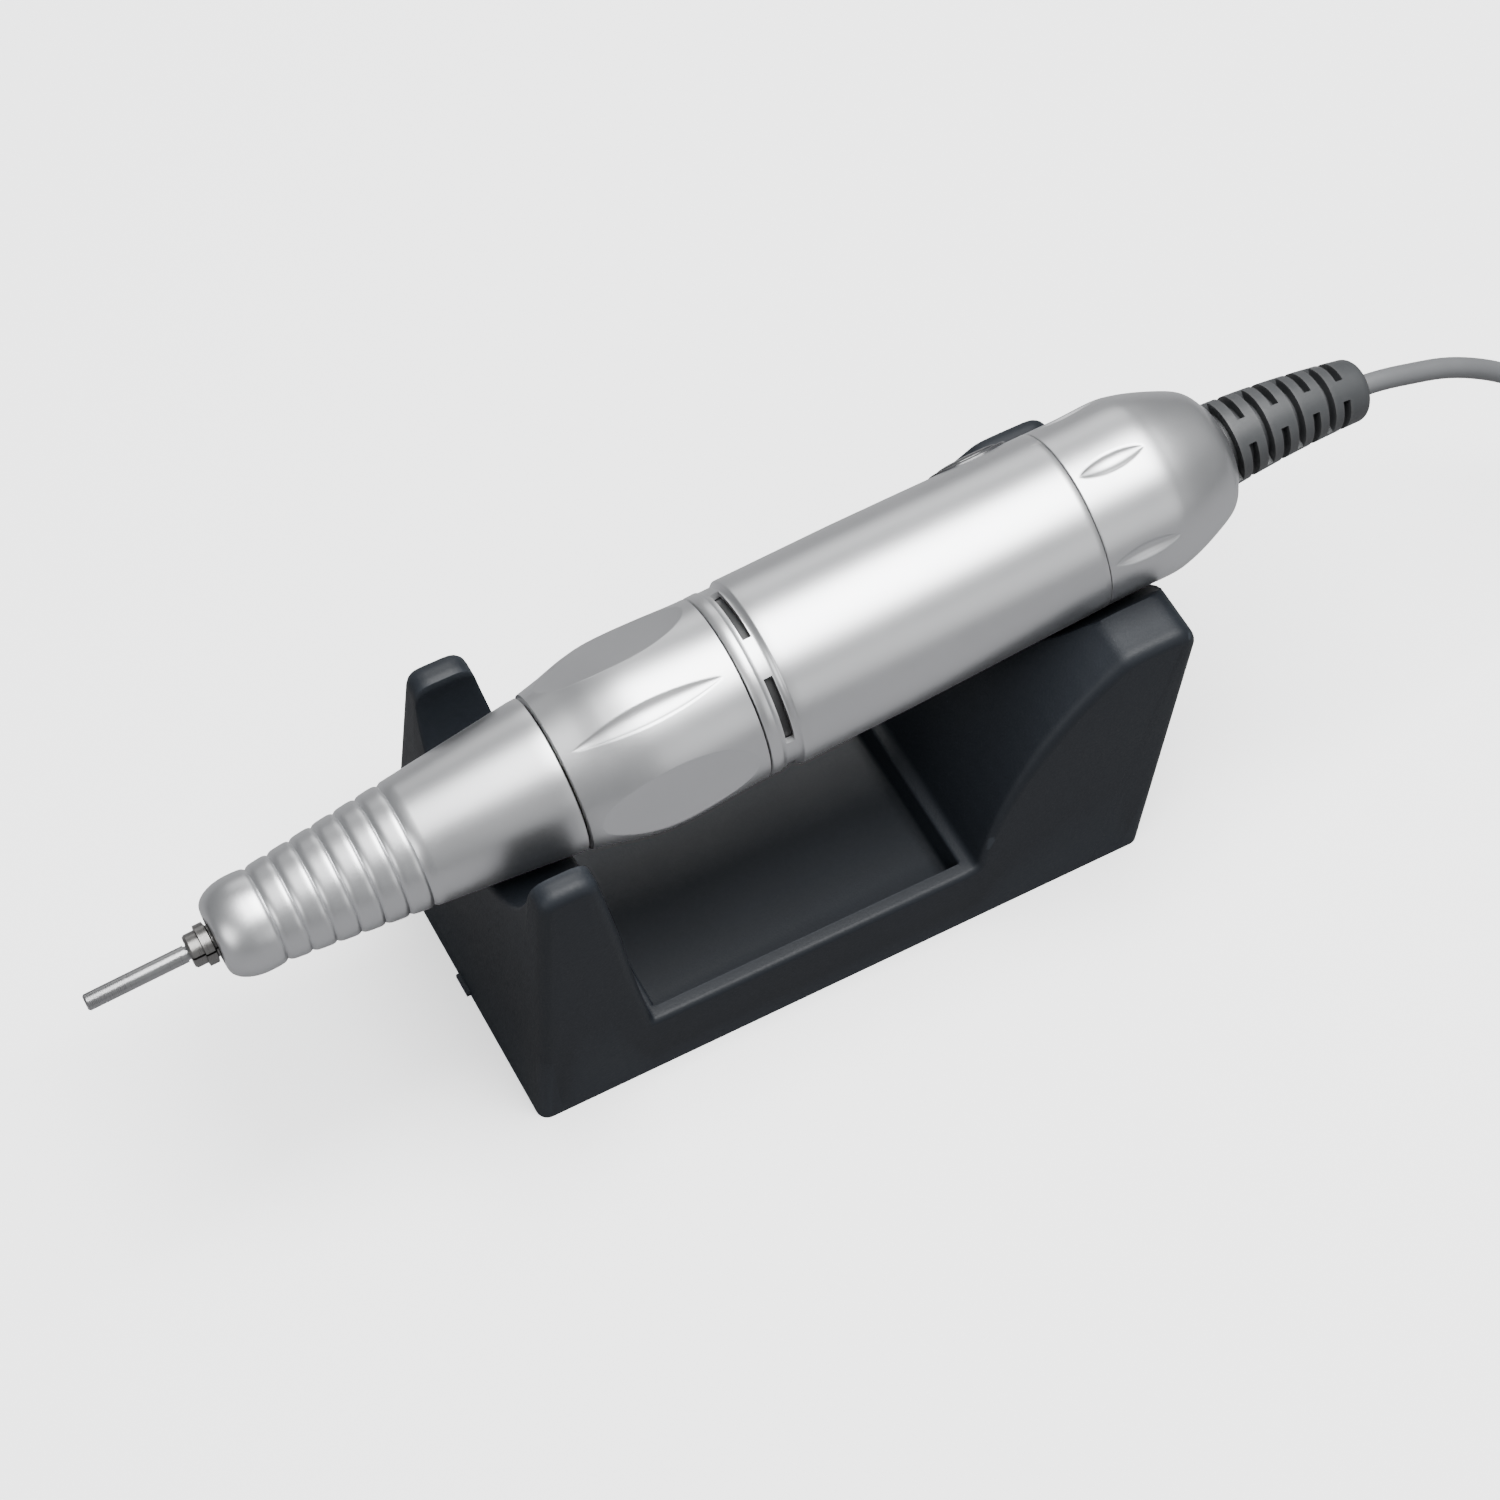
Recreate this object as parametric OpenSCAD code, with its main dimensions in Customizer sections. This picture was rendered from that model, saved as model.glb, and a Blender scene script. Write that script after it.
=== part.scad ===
// Electric nail drill: a twist-lock handpiece with its motor and chuck, its cord and a desk cradle.
// +X runs along the cradle from the nose to the cord, +Z is up, the origin is under the cradle's centre.
// Inside the handpiece every piece is drawn round its own axis, where z is the station along that axis.

/* [Handpiece] */
// Height of the handpiece axis above the table, over the origin
axis_height = 47.1; // [46.5:0.1:48]
// Rise of the handpiece axis towards the cord, in degrees
axis_rise = 4.2; // [4:0.1:4.4]
// Gap between the outer shells at each seam
seam_gap = 0.35; // [0.2:0.05:0.5]

/* [Nose cone] */
// Station of the front face of the nose cone
nose_front = -81.6; // [-82:0.1:-81.5]
// Radius of the flat front face
nose_face_r = 4.2; // [4:0.1:4.6]
// Radius of the grip at the first groove
grip_front_r = 6.72; // [6.6:0.02:6.9]
// Radius of the cone at its rear seam
nose_rear_r = 11.2; // [11:0.1:11.4]
// Number of rounded grip rings behind the dome
grip_rings = 6; // [4:1:6]
// Distance between two grip grooves
grip_pitch = 3.35; // [3.1:0.05:3.4]
// Depth of the grip grooves
grip_depth = 0.35; // [0.3:0.05:0.6]

/* [Lock sleeve] */
// Station of the seam between nose cone and lock sleeve
sleeve_front = -32.1; // [-32.3:0.1:-32]
// Station of the seam between lock sleeve and body tube
sleeve_rear = -6.2; // [-6.4:0.1:-6]
// Largest radius of the sleeve
sleeve_max_r = 13.6; // [13.4:0.05:13.8]
// Turn of the sleeve from locked to open, in degrees
lock_turn = 40; // [30:1:40]
// Travel of the chuck from locked to open
chuck_travel = 0.8; // [0.5:0.1:0.8]

/* [Body tube] */
// Radius of the body tube behind the vents
tube_front_r = 13.5; // [13.4:0.05:13.6]
// Radius of the body tube at the rear cap
tube_rear_r = 12.95; // [12.9:0.05:13.1]
// Station of the seam between body tube and rear cap
tube_rear = 45.6; // [45.4:0.1:45.8]
// Number of vent slots round the tube
vent_count = 5; // [3:1:6]
// Length of a vent slot, in degrees
vent_arc = 46; // [30:1:50]
// Width of a vent slot
vent_width = 1.3; // [1:0.1:1.4]

/* [Rear cap and boot] */
// Station of the rear face of the cap
cap_rear = 69.5; // [69.3:0.1:69.7]
// Radius of the boot where it leaves the cap
boot_front_r = 6.1; // [5.8:0.1:6.2]
// Radius of the boot at the cord
boot_rear_r = 4.4; // [4:0.1:4.6]
// Length of the boot outside the cap
boot_length = 23; // [21:0.5:24]
// Bend of the boot over its length, in degrees
boot_bend = 14; // [10:1:18]

/* [Chuck] */
// Radius of the tool shank in the collet
shank_r = 1.175; // [1.17:0.005:1.18]
// Length of the blank pin
shank_length = 50; // [44:1:50]
// Station of the free end of the blank pin
shank_tip = -99.9; // [-100:0.1:-98]

/* [Button] */
// Station of the button's centre
button_station = 37.6; // [37:0.1:38]
// Place of the button round the tube, in degrees from the top towards the near side
button_angle = -70; // [-80:1:-60]
// Travel of the button
button_travel = 0.6; // [0.4:0.1:0.6]

/* [Cradle] */
// Length of the cradle at its foot
cradle_length = 96; // [94:1:98]
// Width of the cradle at its foot
cradle_width = 48.4; // [47:0.2:50]
// Height of the prongs
prong_height = 50; // [49:0.5:51]
// Height of the low side rim
rim_height = 11.5; // [10:0.5:13]
// Wall thickness of the cradle
cradle_wall = 2.5; // [2:0.1:3]
// Radius of the front saddle
front_saddle_r = 16.7; // [16:0.1:17]
// Radius of the rear saddle
rear_saddle_r = 14.6; // [14.4:0.1:15]

/* [Cord] */
// Radius of the cord
cord_r = 1.5; // [1.4:0.05:1.6]
// Radius at the middle of the coil's turns
coil_mid_r = 16.5; // [16:0.5:18]

/* [Hidden] */
$fn = 48;

fit = 0.02;                 // radial clearance of a running fit
gap = 0.3;                  // clearance between pieces that only pass each other
cut = 0.5;                  // overshoot of a cutting tool past the face that it leaves

// ---- placing and common shapes ----
module on_axis() {
    translate([0, 0, axis_height]) rotate([0, 90 - axis_rise, 0]) children();
}
module at_angle(a) {
    rotate([0, 0, 180 + a]) children();
}
module tube(r_out, r_in, z0, z1) {
    difference() {
        translate([0, 0, z0]) cylinder(r = r_out, h = z1 - z0);
        translate([0, 0, z0 - cut]) cylinder(r = r_in, h = z1 - z0 + 2 * cut);
    }
}
module rod(r, z0, z1) {
    translate([0, 0, z0]) cylinder(r = r, h = z1 - z0);
}
// a rod that points outwards from the axis at station z
module spoke(r, z, r0, r1) {
    translate([r0, 0, z]) rotate([0, 90, 0]) cylinder(r = r, h = r1 - r0);
}
function spline_at(p, i, u) =
    let (a = p[max(i - 1, 0)], b = p[i], c = p[i + 1], d = p[min(i + 2, len(p) - 1)])
    0.5 * (2 * b + (c - a) * u + (2 * a - 5 * b + 4 * c - d) * u * u + (3 * b - a - 3 * c + d) * u * u * u);
function spline(p, n) = concat(
    [for (i = [0:len(p) - 2], k = [0:n - 1]) spline_at(p, i, k / n)], [p[len(p) - 1]]);
function arc(c, r, a0, a1, n) = [for (k = [0:n]) let (a = a0 + (a1 - a0) * k / n) c + r * [cos(a), sin(a)]];
function reversed(p) = [for (i = [len(p) - 1:-1:0]) p[i]];

// ---- ball bearings ----
SPINDLE_STATIONS = [-79.6, -47, -26.2];
MOTOR_STATIONS = [-6, 28.6];
BEARING_W = 3;
SPINDLE_R = 3;
SPINDLE_RACE_R = 5;
MOTOR_SHAFT_R = 1.5;
MOTOR_RACE_R = 4;
BALLS = 8;
function ball_r(r_in, r_out) = 0.3 * (r_out - r_in);
function pitch_r(r_in, r_out) = (r_in + r_out) / 2;
module groove(r_in, r_out) {
    translate([0, 0, BEARING_W / 2]) rotate_extrude()
        translate([pitch_r(r_in, r_out), 0]) circle(r = ball_r(r_in, r_out) + fit, $fn = 24);
}
module outer_race(r_in, r_out) {
    difference() {
        tube(r_out, pitch_r(r_in, r_out) + 0.6 * ball_r(r_in, r_out), 0, BEARING_W);
        groove(r_in, r_out);
    }
}
module inner_race(r_in, r_out) {
    difference() {
        tube(pitch_r(r_in, r_out) - 0.6 * ball_r(r_in, r_out), r_in + fit, 0, BEARING_W);
        groove(r_in, r_out);
    }
}
module balls(r_in, r_out) {
    for (i = [0:BALLS - 1]) rotate([0, 0, i * 360 / BALLS])
        translate([pitch_r(r_in, r_out), 0, BEARING_W / 2]) sphere(r = ball_r(r_in, r_out), $fn = 24);
}

// ---- outer shells of the handpiece ----
GRIP_FRONT = -74.05;        // station of the first groove
GRIP_REAR = GRIP_FRONT + grip_rings * grip_pitch;
CONE_SLOPE = (nose_rear_r - grip_front_r) / (sleeve_front - GRIP_FRONT);
RING_RISE = 0.05;           // how far a ring's top stands over the cone's line
RING_FLAT = 4;              // the higher, the flatter a ring's top
DOME_R = 6.88;              // radius at the back of the dome
DOME_LENGTH = 4.9;
function cone_r(z) = grip_front_r + CONE_SLOPE * (z - GRIP_FRONT);
function ring_r(z) = let (u = (z - GRIP_FRONT) / grip_pitch, v = abs(2 * (u - floor(u)) - 1))
    cone_r(z) + RING_RISE - grip_depth * pow(v, RING_FLAT);
NOSE_OUT = concat(
    [for (k = [0:8]) let (a = 90 * k / 8)
        [nose_face_r + (DOME_R - nose_face_r) * sin(a), nose_front + DOME_LENGTH * (1 - cos(a))]],
    [[DOME_R - 0.04, -75.6], [grip_front_r - 0.1, -74.6]],
    [for (k = [0:6 * grip_rings]) let (z = GRIP_FRONT + k * grip_pitch / 6) [ring_r(z), z]],
    [[cone_r(GRIP_REAR + 0.5), GRIP_REAR + 0.5], [cone_r(-43), -43], [nose_rear_r, sleeve_front - seam_gap]]);
HOUSING_R = 5.6;
BARREL_R = 9;
module nose_cone() color("silver") on_axis() rotate_extrude() polygon(concat(
    [[SPINDLE_R + gap, nose_front]], NOSE_OUT,
    [[BARREL_R + fit, sleeve_front - seam_gap], [BARREL_R + fit, -38], [HOUSING_R + fit, -52],
     [HOUSING_R + fit, -80.3], [SPINDLE_R + gap, -80.3]]));
module dust_seal() color("black") on_axis() tube(HOUSING_R - 0.65, SPINDLE_R + 0.05, -80.2, -79.7);
module nose_seal() color("black") on_axis() translate([0, 0, -31.5]) rotate_extrude()
    translate([BARREL_R + 0.45, 0]) circle(r = 0.42, $fn = 24);
module spindle_housing() color("gainsboro") on_axis() difference() {
    rod(HOUSING_R, -80.2, -38.2);
    rod(SPINDLE_RACE_R, -80.2 - cut, -76.5);
    rod(SPINDLE_RACE_R - 0.5, -77, -46);
    rod(SPINDLE_RACE_R, -47.05, -38.2 + cut);
}

LOCK_BORE = 10.7;
SLEEVE_STATIONS = [
    [11.3, sleeve_front], [12.05, -28.6], [12.95, -25], [sleeve_max_r - 0.1, -21.5], [sleeve_max_r, -18],
    [13.4, -13], [13.15, -8.6], [13.1, sleeve_rear - seam_gap]];
SCALLOP_MID = -19.4;
SCALLOP_HALF = 10.8;
SCALLOP_STEP = 60;
NARROW_ANGLE = 23;          // place of the first narrow scallop round the sleeve
// a spindle-shaped cutter that leaves a narrow lens
module lens_cutter(r, half) {
    rr = (half * half + r * r) / (2 * r);
    rotate_extrude() intersection() {
        translate([r - rr, 0]) circle(r = rr, $fn = 180);
        translate([0, -half]) square([r, 2 * half]);
    }
}
// a wide cutter whose axis is square to the sleeve's, which leaves an oval flat
module oval_cutter(r, depth, half) {
    rr = (half * half + depth * depth) / (2 * depth);
    translate([r - depth + rr, 0, 0]) rotate([90, 0, 0]) cylinder(r = rr, h = 30, center = true, $fn = 180);
}
module lock_sleeve() color("silver") on_axis() difference() {
    rotate_extrude() polygon(concat(
        [[BARREL_R + 0.9, sleeve_front]], spline(SLEEVE_STATIONS, 4),
        [[BARREL_R + 0.1, sleeve_rear - seam_gap], [BARREL_R + 0.1, -9], [LOCK_BORE, -9], [LOCK_BORE, -30.4],
         [BARREL_R + 0.9, -30.4]]));
    for (i = [0:2]) at_angle(NARROW_ANGLE + 2 * i * SCALLOP_STEP)
        translate([sleeve_max_r + 0.1, 0, SCALLOP_MID]) rotate([0, 1.6, 0]) lens_cutter(1.4, SCALLOP_HALF);
    for (i = [0:2]) at_angle(NARROW_ANGLE + (2 * i + 1) * SCALLOP_STEP)
        translate([0, 0, SCALLOP_MID]) oval_cutter(sleeve_max_r, 1.15, SCALLOP_HALF + 1);
}

VENT_STATION = -3.2;
VENT_ANGLE = -14;
TUBE_BORE = 12.05;
BEZEL_X = 6;                // half length of the bezel along the tube
BEZEL_Y = 4.6;              // half width of the bezel round the tube
// an oblong prism that points outwards from the axis, with round ends
module oblong(half_l, half_w, r0, r1) {
    translate([r0, 0, 0]) rotate([0, 90, 0]) union() {
        for (s = [-1, 1]) translate([s * (half_l - half_w), 0, 0]) cylinder(r = half_w, h = r1 - r0);
        translate([-(half_l - half_w), -half_w, 0]) cube([2 * (half_l - half_w), 2 * half_w, r1 - r0]);
    }
}
module on_button() {
    at_angle(button_angle) translate([0, 0, button_station]) children();
}
module body_tube() color("silver") on_axis() difference() {
    rotate_extrude() polygon([
        [TUBE_BORE, sleeve_rear], [13.1, sleeve_rear], [13.15, -4.6], [12.95, -4.4], [12.95, -2.1],
        [tube_front_r, -1.6], [tube_front_r - 0.05, 16], [tube_rear_r, tube_rear], [TUBE_BORE, tube_rear]]);
    for (i = [0:vent_count - 1]) at_angle(VENT_ANGLE + i * 360 / vent_count)
        translate([0, 0, VENT_STATION - vent_width / 2]) rotate([0, 0, -vent_arc / 2])
            rotate_extrude(angle = vent_arc) translate([11, 0]) square([4, vent_width]);
    on_button() oblong(BEZEL_X, BEZEL_Y, 10, 16);
}

CAP_STATIONS = [
    [tube_rear_r - 0.02, tube_rear + seam_gap], [12.88, 51], [12.97, 56.3], [12.5, 59.2], [11.5, 62.4],
    [9.9, 66.2], [8.75, 67.9], [7.2, 69], [6.4, cap_rear]];
CAP_LENS_MID = 51.7;
CAP_LENS_HALF = 4.9;
CAP_LENS_ANGLE = 10;
CAP_BORE = 11.4;
module rear_cap() color("silver") on_axis() difference() {
    rotate_extrude() polygon(concat(
        [[CAP_BORE, tube_rear + seam_gap]], spline(CAP_STATIONS, 3),
        [[boot_front_r + 0.1, cap_rear], [boot_front_r + 0.1, 67.4], [7.6, 66.4], [CAP_BORE - 1, 62],
         [CAP_BORE, 57]]));
    for (i = [0:5]) at_angle(CAP_LENS_ANGLE + i * SCALLOP_STEP)
        translate([tube_rear_r + 0.3, 0, CAP_LENS_MID]) lens_cutter(1.3, CAP_LENS_HALF);
}

// ---- lock mechanism ----
PIN_STATION = -28;          // station of the cam pins when locked
CAM_PIN_R = 1;
module barrel() color("dimgray") on_axis() difference() {
    union() {
        rod(BARREL_R, -38, -5.6);
        rod(TUBE_BORE - fit, -5.6, -4.2);
    }
    rod(6.6, -38.1, -26);
    rod(SPINDLE_RACE_R, -27, -23);
    rod(4.4, -23.1, -22);
    rod(6.6, -22.2, -4);
    for (a = [0, 180]) rotate([0, 0, a]) for (k = [0:3])
        spoke(CAM_PIN_R + 0.1, PIN_STATION - k * chuck_travel / 3, 5, 12);
    spoke(STOP_BALL_R + 0.1, STOP_STATION, 6.9, 12);
}
CAM_STEPS = 12;
STOP_STATION = -12;         // station of the ball that ends the sleeve's turn
STOP_BALL_R = 1.2;
STOP_PATH_R = 8.6;          // distance of the ball's centre from the axis
// two helical slots drive the pins, and a short track in the bore holds the stop ball
module cam_ring() color("darkgoldenrod") on_axis() difference() {
    tube(LOCK_BORE - 0.02, BARREL_R + 0.06, -30.3, -9.6);
    for (a = [0, 180]) rotate([0, 0, a]) for (k = [0:CAM_STEPS]) rotate([0, 0, -k * lock_turn / CAM_STEPS])
        spoke(CAM_PIN_R + 0.06, PIN_STATION - k * chuck_travel / CAM_STEPS, 8, 12);
    translate([0, 0, STOP_STATION]) rotate([0, 0, -lock_turn]) rotate_extrude(angle = lock_turn)
        translate([STOP_PATH_R, 0]) circle(r = STOP_BALL_R + 0.06, $fn = 32);
    for (a = [0, -lock_turn]) rotate([0, 0, a]) translate([STOP_PATH_R, 0, STOP_STATION])
        sphere(r = STOP_BALL_R + 0.06, $fn = 32);
}
// the pins ride on two fingers that reach back to the cam slots
module pusher() color("slategray") on_axis() difference() {
    union() {
        tube(6.4, 3.4, -33.4, -30.6);
        for (a = [0, 180]) rotate([0, 0, a]) translate([5.1, -1.6, -33.4]) cube([1, 3.2, 7.1]);
    }
    for (a = [0, 180]) rotate([0, 0, a]) spoke(CAM_PIN_R, PIN_STATION, 4, 7);
}
module cam_pins() color("gray") on_axis() for (a = [0, 180]) rotate([0, 0, a])
    spoke(CAM_PIN_R - fit, PIN_STATION, 5.6, 10.4);
module stop_ball() color("gainsboro") on_axis() translate([STOP_PATH_R, 0, STOP_STATION])
    sphere(r = STOP_BALL_R, $fn = 32);
module stop_spring() color("gray") on_axis() translate([7.15, 0, STOP_STATION]) rotate([0, 90, 0])
    rotate_extrude() translate([0.9, 0]) circle(r = 0.22, $fn = 16);

// ---- chuck and spindle ----
SHANK_CHAMFER = 0.25;
SHANK_RELIEF = [-85.6, -84.4];  // stations of the turned relief at the collet's mouth
SHANK_RELIEF_R = 0.95;
module blank_pin() color("lightgray") on_axis() rotate_extrude() polygon([
    [0, shank_tip], [shank_r - SHANK_CHAMFER, shank_tip], [shank_r, shank_tip + SHANK_CHAMFER],
    [shank_r, SHANK_RELIEF[0]], [SHANK_RELIEF_R, SHANK_RELIEF[0]], [SHANK_RELIEF_R, SHANK_RELIEF[1]],
    [shank_r, SHANK_RELIEF[1]], [shank_r, shank_tip + shank_length - SHANK_CHAMFER],
    [shank_r - SHANK_CHAMFER, shank_tip + shank_length], [0, shank_tip + shank_length]]);
COLLET_R = 2.25;
module collet() color("dimgray") on_axis() difference() {
    rotate_extrude() polygon([
        [shank_r + 0.015, -85.2], [2.1, -85.2], [2.35, -84.9], [2.35, -83.5], [2.9, -83.4], [2.9, -82.1],
        [COLLET_R, -81.9], [COLLET_R, -62.1], [shank_r + 0.015, -62.1]]);
    for (a = [0, 120, 240]) rotate([0, 0, a]) translate([0.8, -0.15, -85.2 - cut]) cube([3, 0.3, 17]);
}
CROSS_Z = -35.4;            // station of the pin through draw rod and collar
CROSS_R = 0.7;
module draw_rod() color("gray") on_axis() difference() {
    rod(COLLET_R, -62, -33.3);
    rod(1.3, -62 - cut, -48);
    translate([0, 0, CROSS_Z]) rotate([90, 0, 0]) cylinder(r = CROSS_R, h = 6, center = true);
}
// the cross pin joins draw rod and collar through slots in the spindle
module cross_pin() color("gainsboro") on_axis()
    translate([0, 0, CROSS_Z]) rotate([90, 0, 0]) cylinder(r = CROSS_R - fit, h = 7.6, center = true);
module release_collar() color("gray") on_axis() difference() {
    tube(4.8, SPINDLE_R + 0.06, -36.9, -33.9);
    translate([0, 0, CROSS_Z]) rotate([90, 0, 0]) cylinder(r = CROSS_R, h = 8, center = true);
}
// eight cupped washers, turned over in pairs
module spring_washers() color("darkgray") on_axis() for (k = [0:7]) {
    rise = k % 2 == 0 ? 0.35 : 0;
    drop = k % 2 == 0 ? 0 : 0.35;
    translate([0, 0, -43.6 + k * 0.72]) rotate_extrude() polygon([
        [3.15, rise], [4.7, drop], [4.7, drop + 0.25], [3.15, rise + 0.25]]);
}
module spindle() color("gainsboro") on_axis() difference() {
    union() {
        rod(SPINDLE_R, -81.2, -22.4);
        rod(2, -22.4, -19.6);
    }
    rod(COLLET_R + fit, -81.2 - cut, -31.5);
    for (k = [0:4]) translate([0, 0, CROSS_Z - (chuck_travel + 0.2) * k / 4])
        rotate([90, 0, 0]) cylinder(r = 0.75, h = 8, center = true);
}
module spindle_outer_races() color("gainsboro") on_axis() for (z = SPINDLE_STATIONS)
    translate([0, 0, z]) outer_race(SPINDLE_R, SPINDLE_RACE_R - fit);
module spindle_inner_races() color("gainsboro") on_axis() for (z = SPINDLE_STATIONS)
    translate([0, 0, z]) inner_race(SPINDLE_R, SPINDLE_RACE_R - fit);
module spindle_balls() color("lightgray") on_axis() for (z = SPINDLE_STATIONS)
    translate([0, 0, z]) balls(SPINDLE_R, SPINDLE_RACE_R - fit);

// ---- coupling ----
HUB_R = 4.2;
DOG_HALF = 1.4;             // half width of a coupling's dog
module dogs(z0, z1) {
    for (a = [0, 180]) rotate([0, 0, a]) intersection() {
        tube(HUB_R, 2.3, z0, z1);
        translate([0, -DOG_HALF, z0 - cut]) cube([HUB_R + 1, 2 * DOG_HALF, z1 - z0 + 2 * cut]);
    }
}
module driven_coupling() color("dimgray") on_axis() union() {
    tube(HUB_R, 2 + fit, -22.1, -19.4);
    dogs(-19.5, -17.2);
}
module driver_coupling() color("dimgray") on_axis() union() {
    tube(HUB_R, MOTOR_SHAFT_R + fit, -16.9, -13);
    rotate([0, 0, 90]) dogs(-19.1, -16.8);
}

// ---- motor ----
CAN_R = 10.2;
CAN_BORE = 9.4;
module motor_can() color("gray") on_axis() difference() {
    union() {
        rod(CAN_R, -4, 28.2);
        rod(4.8, -6.2, -4);
    }
    rod(MOTOR_RACE_R, -6.1, -3);
    rod(MOTOR_SHAFT_R + gap, -7, -2);
    rod(CAN_BORE, -3, 28.2 + cut);
}
MAGNET_SPAN = 130;          // width of a magnet, in degrees
module magnets() color("#303030") on_axis() for (a = [25, 205]) rotate([0, 0, a]) translate([0, 0, -1])
    rotate_extrude(angle = MAGNET_SPAN) translate([7.3, 0]) square([2.05, 21]);
POLES = 5;
CORE_R = 6.9;
CORE_LENGTH = 18;
SLOT_X = 4.6;               // distance of a winding slot from the axis
module armature_core() color("darkgray") on_axis() difference() {
    tube(CORE_R, MOTOR_SHAFT_R + 0.01, 0, CORE_LENGTH);
    for (i = [0:POLES - 1]) rotate([0, 0, i * 360 / POLES]) {
        translate([SLOT_X, 0, -cut]) cylinder(r = 1.2, h = CORE_LENGTH + 2);
        translate([SLOT_X, -0.4, -cut]) cube([4, 0.8, CORE_LENGTH + 2]);
    }
}
module windings() color("#b5651d") on_axis() union() {
    for (z = [[-2.2, -0.02], [CORE_LENGTH + 0.02, CORE_LENGTH + 2.4]]) tube(6, 2.2, z[0], z[1]);
    for (i = [0:POLES - 1]) rotate([0, 0, i * 360 / POLES])
        translate([SLOT_X, 0, -1]) cylinder(r = 1.1, h = CORE_LENGTH + 2);
}
module commutator() color("#c77b3b") on_axis() difference() {
    tube(2.7, MOTOR_SHAFT_R + 0.01, 21, 25.4);
    for (i = [0:POLES - 1]) rotate([0, 0, i * 360 / POLES]) translate([2.3, -0.1, 21 - cut]) cube([1, 0.2, 6]);
}
module motor_shaft() color("lightgray") on_axis() rod(MOTOR_SHAFT_R, -16.8, 32.6);
module motor_outer_races() color("gainsboro") on_axis() for (z = MOTOR_STATIONS)
    translate([0, 0, z]) outer_race(MOTOR_SHAFT_R, MOTOR_RACE_R - fit);
module motor_inner_races() color("gainsboro") on_axis() for (z = MOTOR_STATIONS)
    translate([0, 0, z]) inner_race(MOTOR_SHAFT_R, MOTOR_RACE_R - fit);
module motor_balls() color("lightgray") on_axis() for (z = MOTOR_STATIONS)
    translate([0, 0, z]) balls(MOTOR_SHAFT_R, MOTOR_RACE_R - fit);
BRUSH_Z = 23.2;
TERMINAL_ANGLE = 20;        // the terminals stand square to the button
BRUSH_ANGLE = TERMINAL_ANGLE + 90;
module end_bell() color("#202020") on_axis() difference() {
    union() {
        rod(CAN_R, 28.3, 31.8);
        tube(CAN_BORE - 0.1, 4.4, 21.2, 28.4);
    }
    rod(MOTOR_RACE_R, 28.5, 32);
    rod(MOTOR_SHAFT_R + gap, 28, 33);
    for (a = [0, 180]) rotate([0, 0, BRUSH_ANGLE + a]) translate([2, -1.05, BRUSH_Z - 1.05]) cube([6.9, 2.1, 2.1]);
    for (a = [0, 180]) rotate([0, 0, TERMINAL_ANGLE + a]) translate([6.2, -1.1, 20]) cube([0.7, 2.2, 13]);
}
module brushes() color("#3a3a3a") on_axis() for (a = [0, 180]) rotate([0, 0, BRUSH_ANGLE + a]) difference() {
    translate([2.5, -1, BRUSH_Z - 1]) cube([3.8, 2, 2]);
    rod(2.72, BRUSH_Z - 2, BRUSH_Z + 2);
}
module brush_springs() color("gray") on_axis() for (a = [0, 180]) rotate([0, 0, BRUSH_ANGLE + a]) for (k = [0:4])
    translate([6.55 + 0.48 * k, 0, BRUSH_Z]) rotate([0, 90, 0]) rotate_extrude()
        translate([0.7, 0]) circle(r = 0.24, $fn = 14);
module terminals() color("#c9a24a") on_axis() for (a = [0, 180]) rotate([0, 0, TERMINAL_ANGLE + a]) difference() {
    translate([6.3, -1, 22]) cube([0.5, 2, 13.5]);
    translate([6, 0, 34.3]) rotate([0, 90, 0]) cylinder(r = 0.5, h = 1.5);
}

// ---- chassis, button and switch ----
CHASSIS_R = 11.9;
BEZEL_RISE = 0.55;          // how far the bezel stands over the tube
module chassis() color("#1c1c1e") on_axis() difference() {
    tube(CHASSIS_R, CAN_R + 0.05, -4.1, 44.6);
    on_button() oblong(BEZEL_X + 0.2, BEZEL_Y + 0.2, 8, 13);
}
module button_bezel() color("black") on_axis() on_button() difference() {
    intersection() {
        oblong(BEZEL_X - 0.05, BEZEL_Y - 0.05, 10.6, 15);
        translate([0, 0, -10]) cylinder(r = tube_rear_r + BEZEL_RISE, h = 20);
    }
    oblong(BEZEL_X - 1, BEZEL_Y - 1, 10, 16);
}
module power_button() color("black") on_axis() on_button() union() {
    intersection() {
        oblong(BEZEL_X - 1.08, BEZEL_Y - 1.08, 10.8, 16);
        translate([0, 0, -10]) cylinder(r = tube_rear_r + BEZEL_RISE + button_travel, h = 20);
    }
    spoke(1.2, 0, 8, 11);
}
module button_spring() color("gray") on_axis() on_button() for (k = [0:4])
    translate([7.1 + 0.7 * k, 0, 0]) rotate([0, 90, 0]) rotate_extrude()
        translate([1.75, 0]) circle(r = 0.22, $fn = 14);
module switch_board() color("darkgreen") on_axis() on_button() difference() {
    translate([2.6, -4.5, -5.6]) cube([1, 9, 11.2]);
    for (z = [-4.4, 4.4]) spoke(0.6, z, 2, 4);
}
module switch_body() color("#28282a") on_axis() on_button() union() {
    translate([3.62, -3, -3]) cube([3.2, 6, 6]);
    spoke(1.1, 0, 6.8, 7.35);
}

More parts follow.
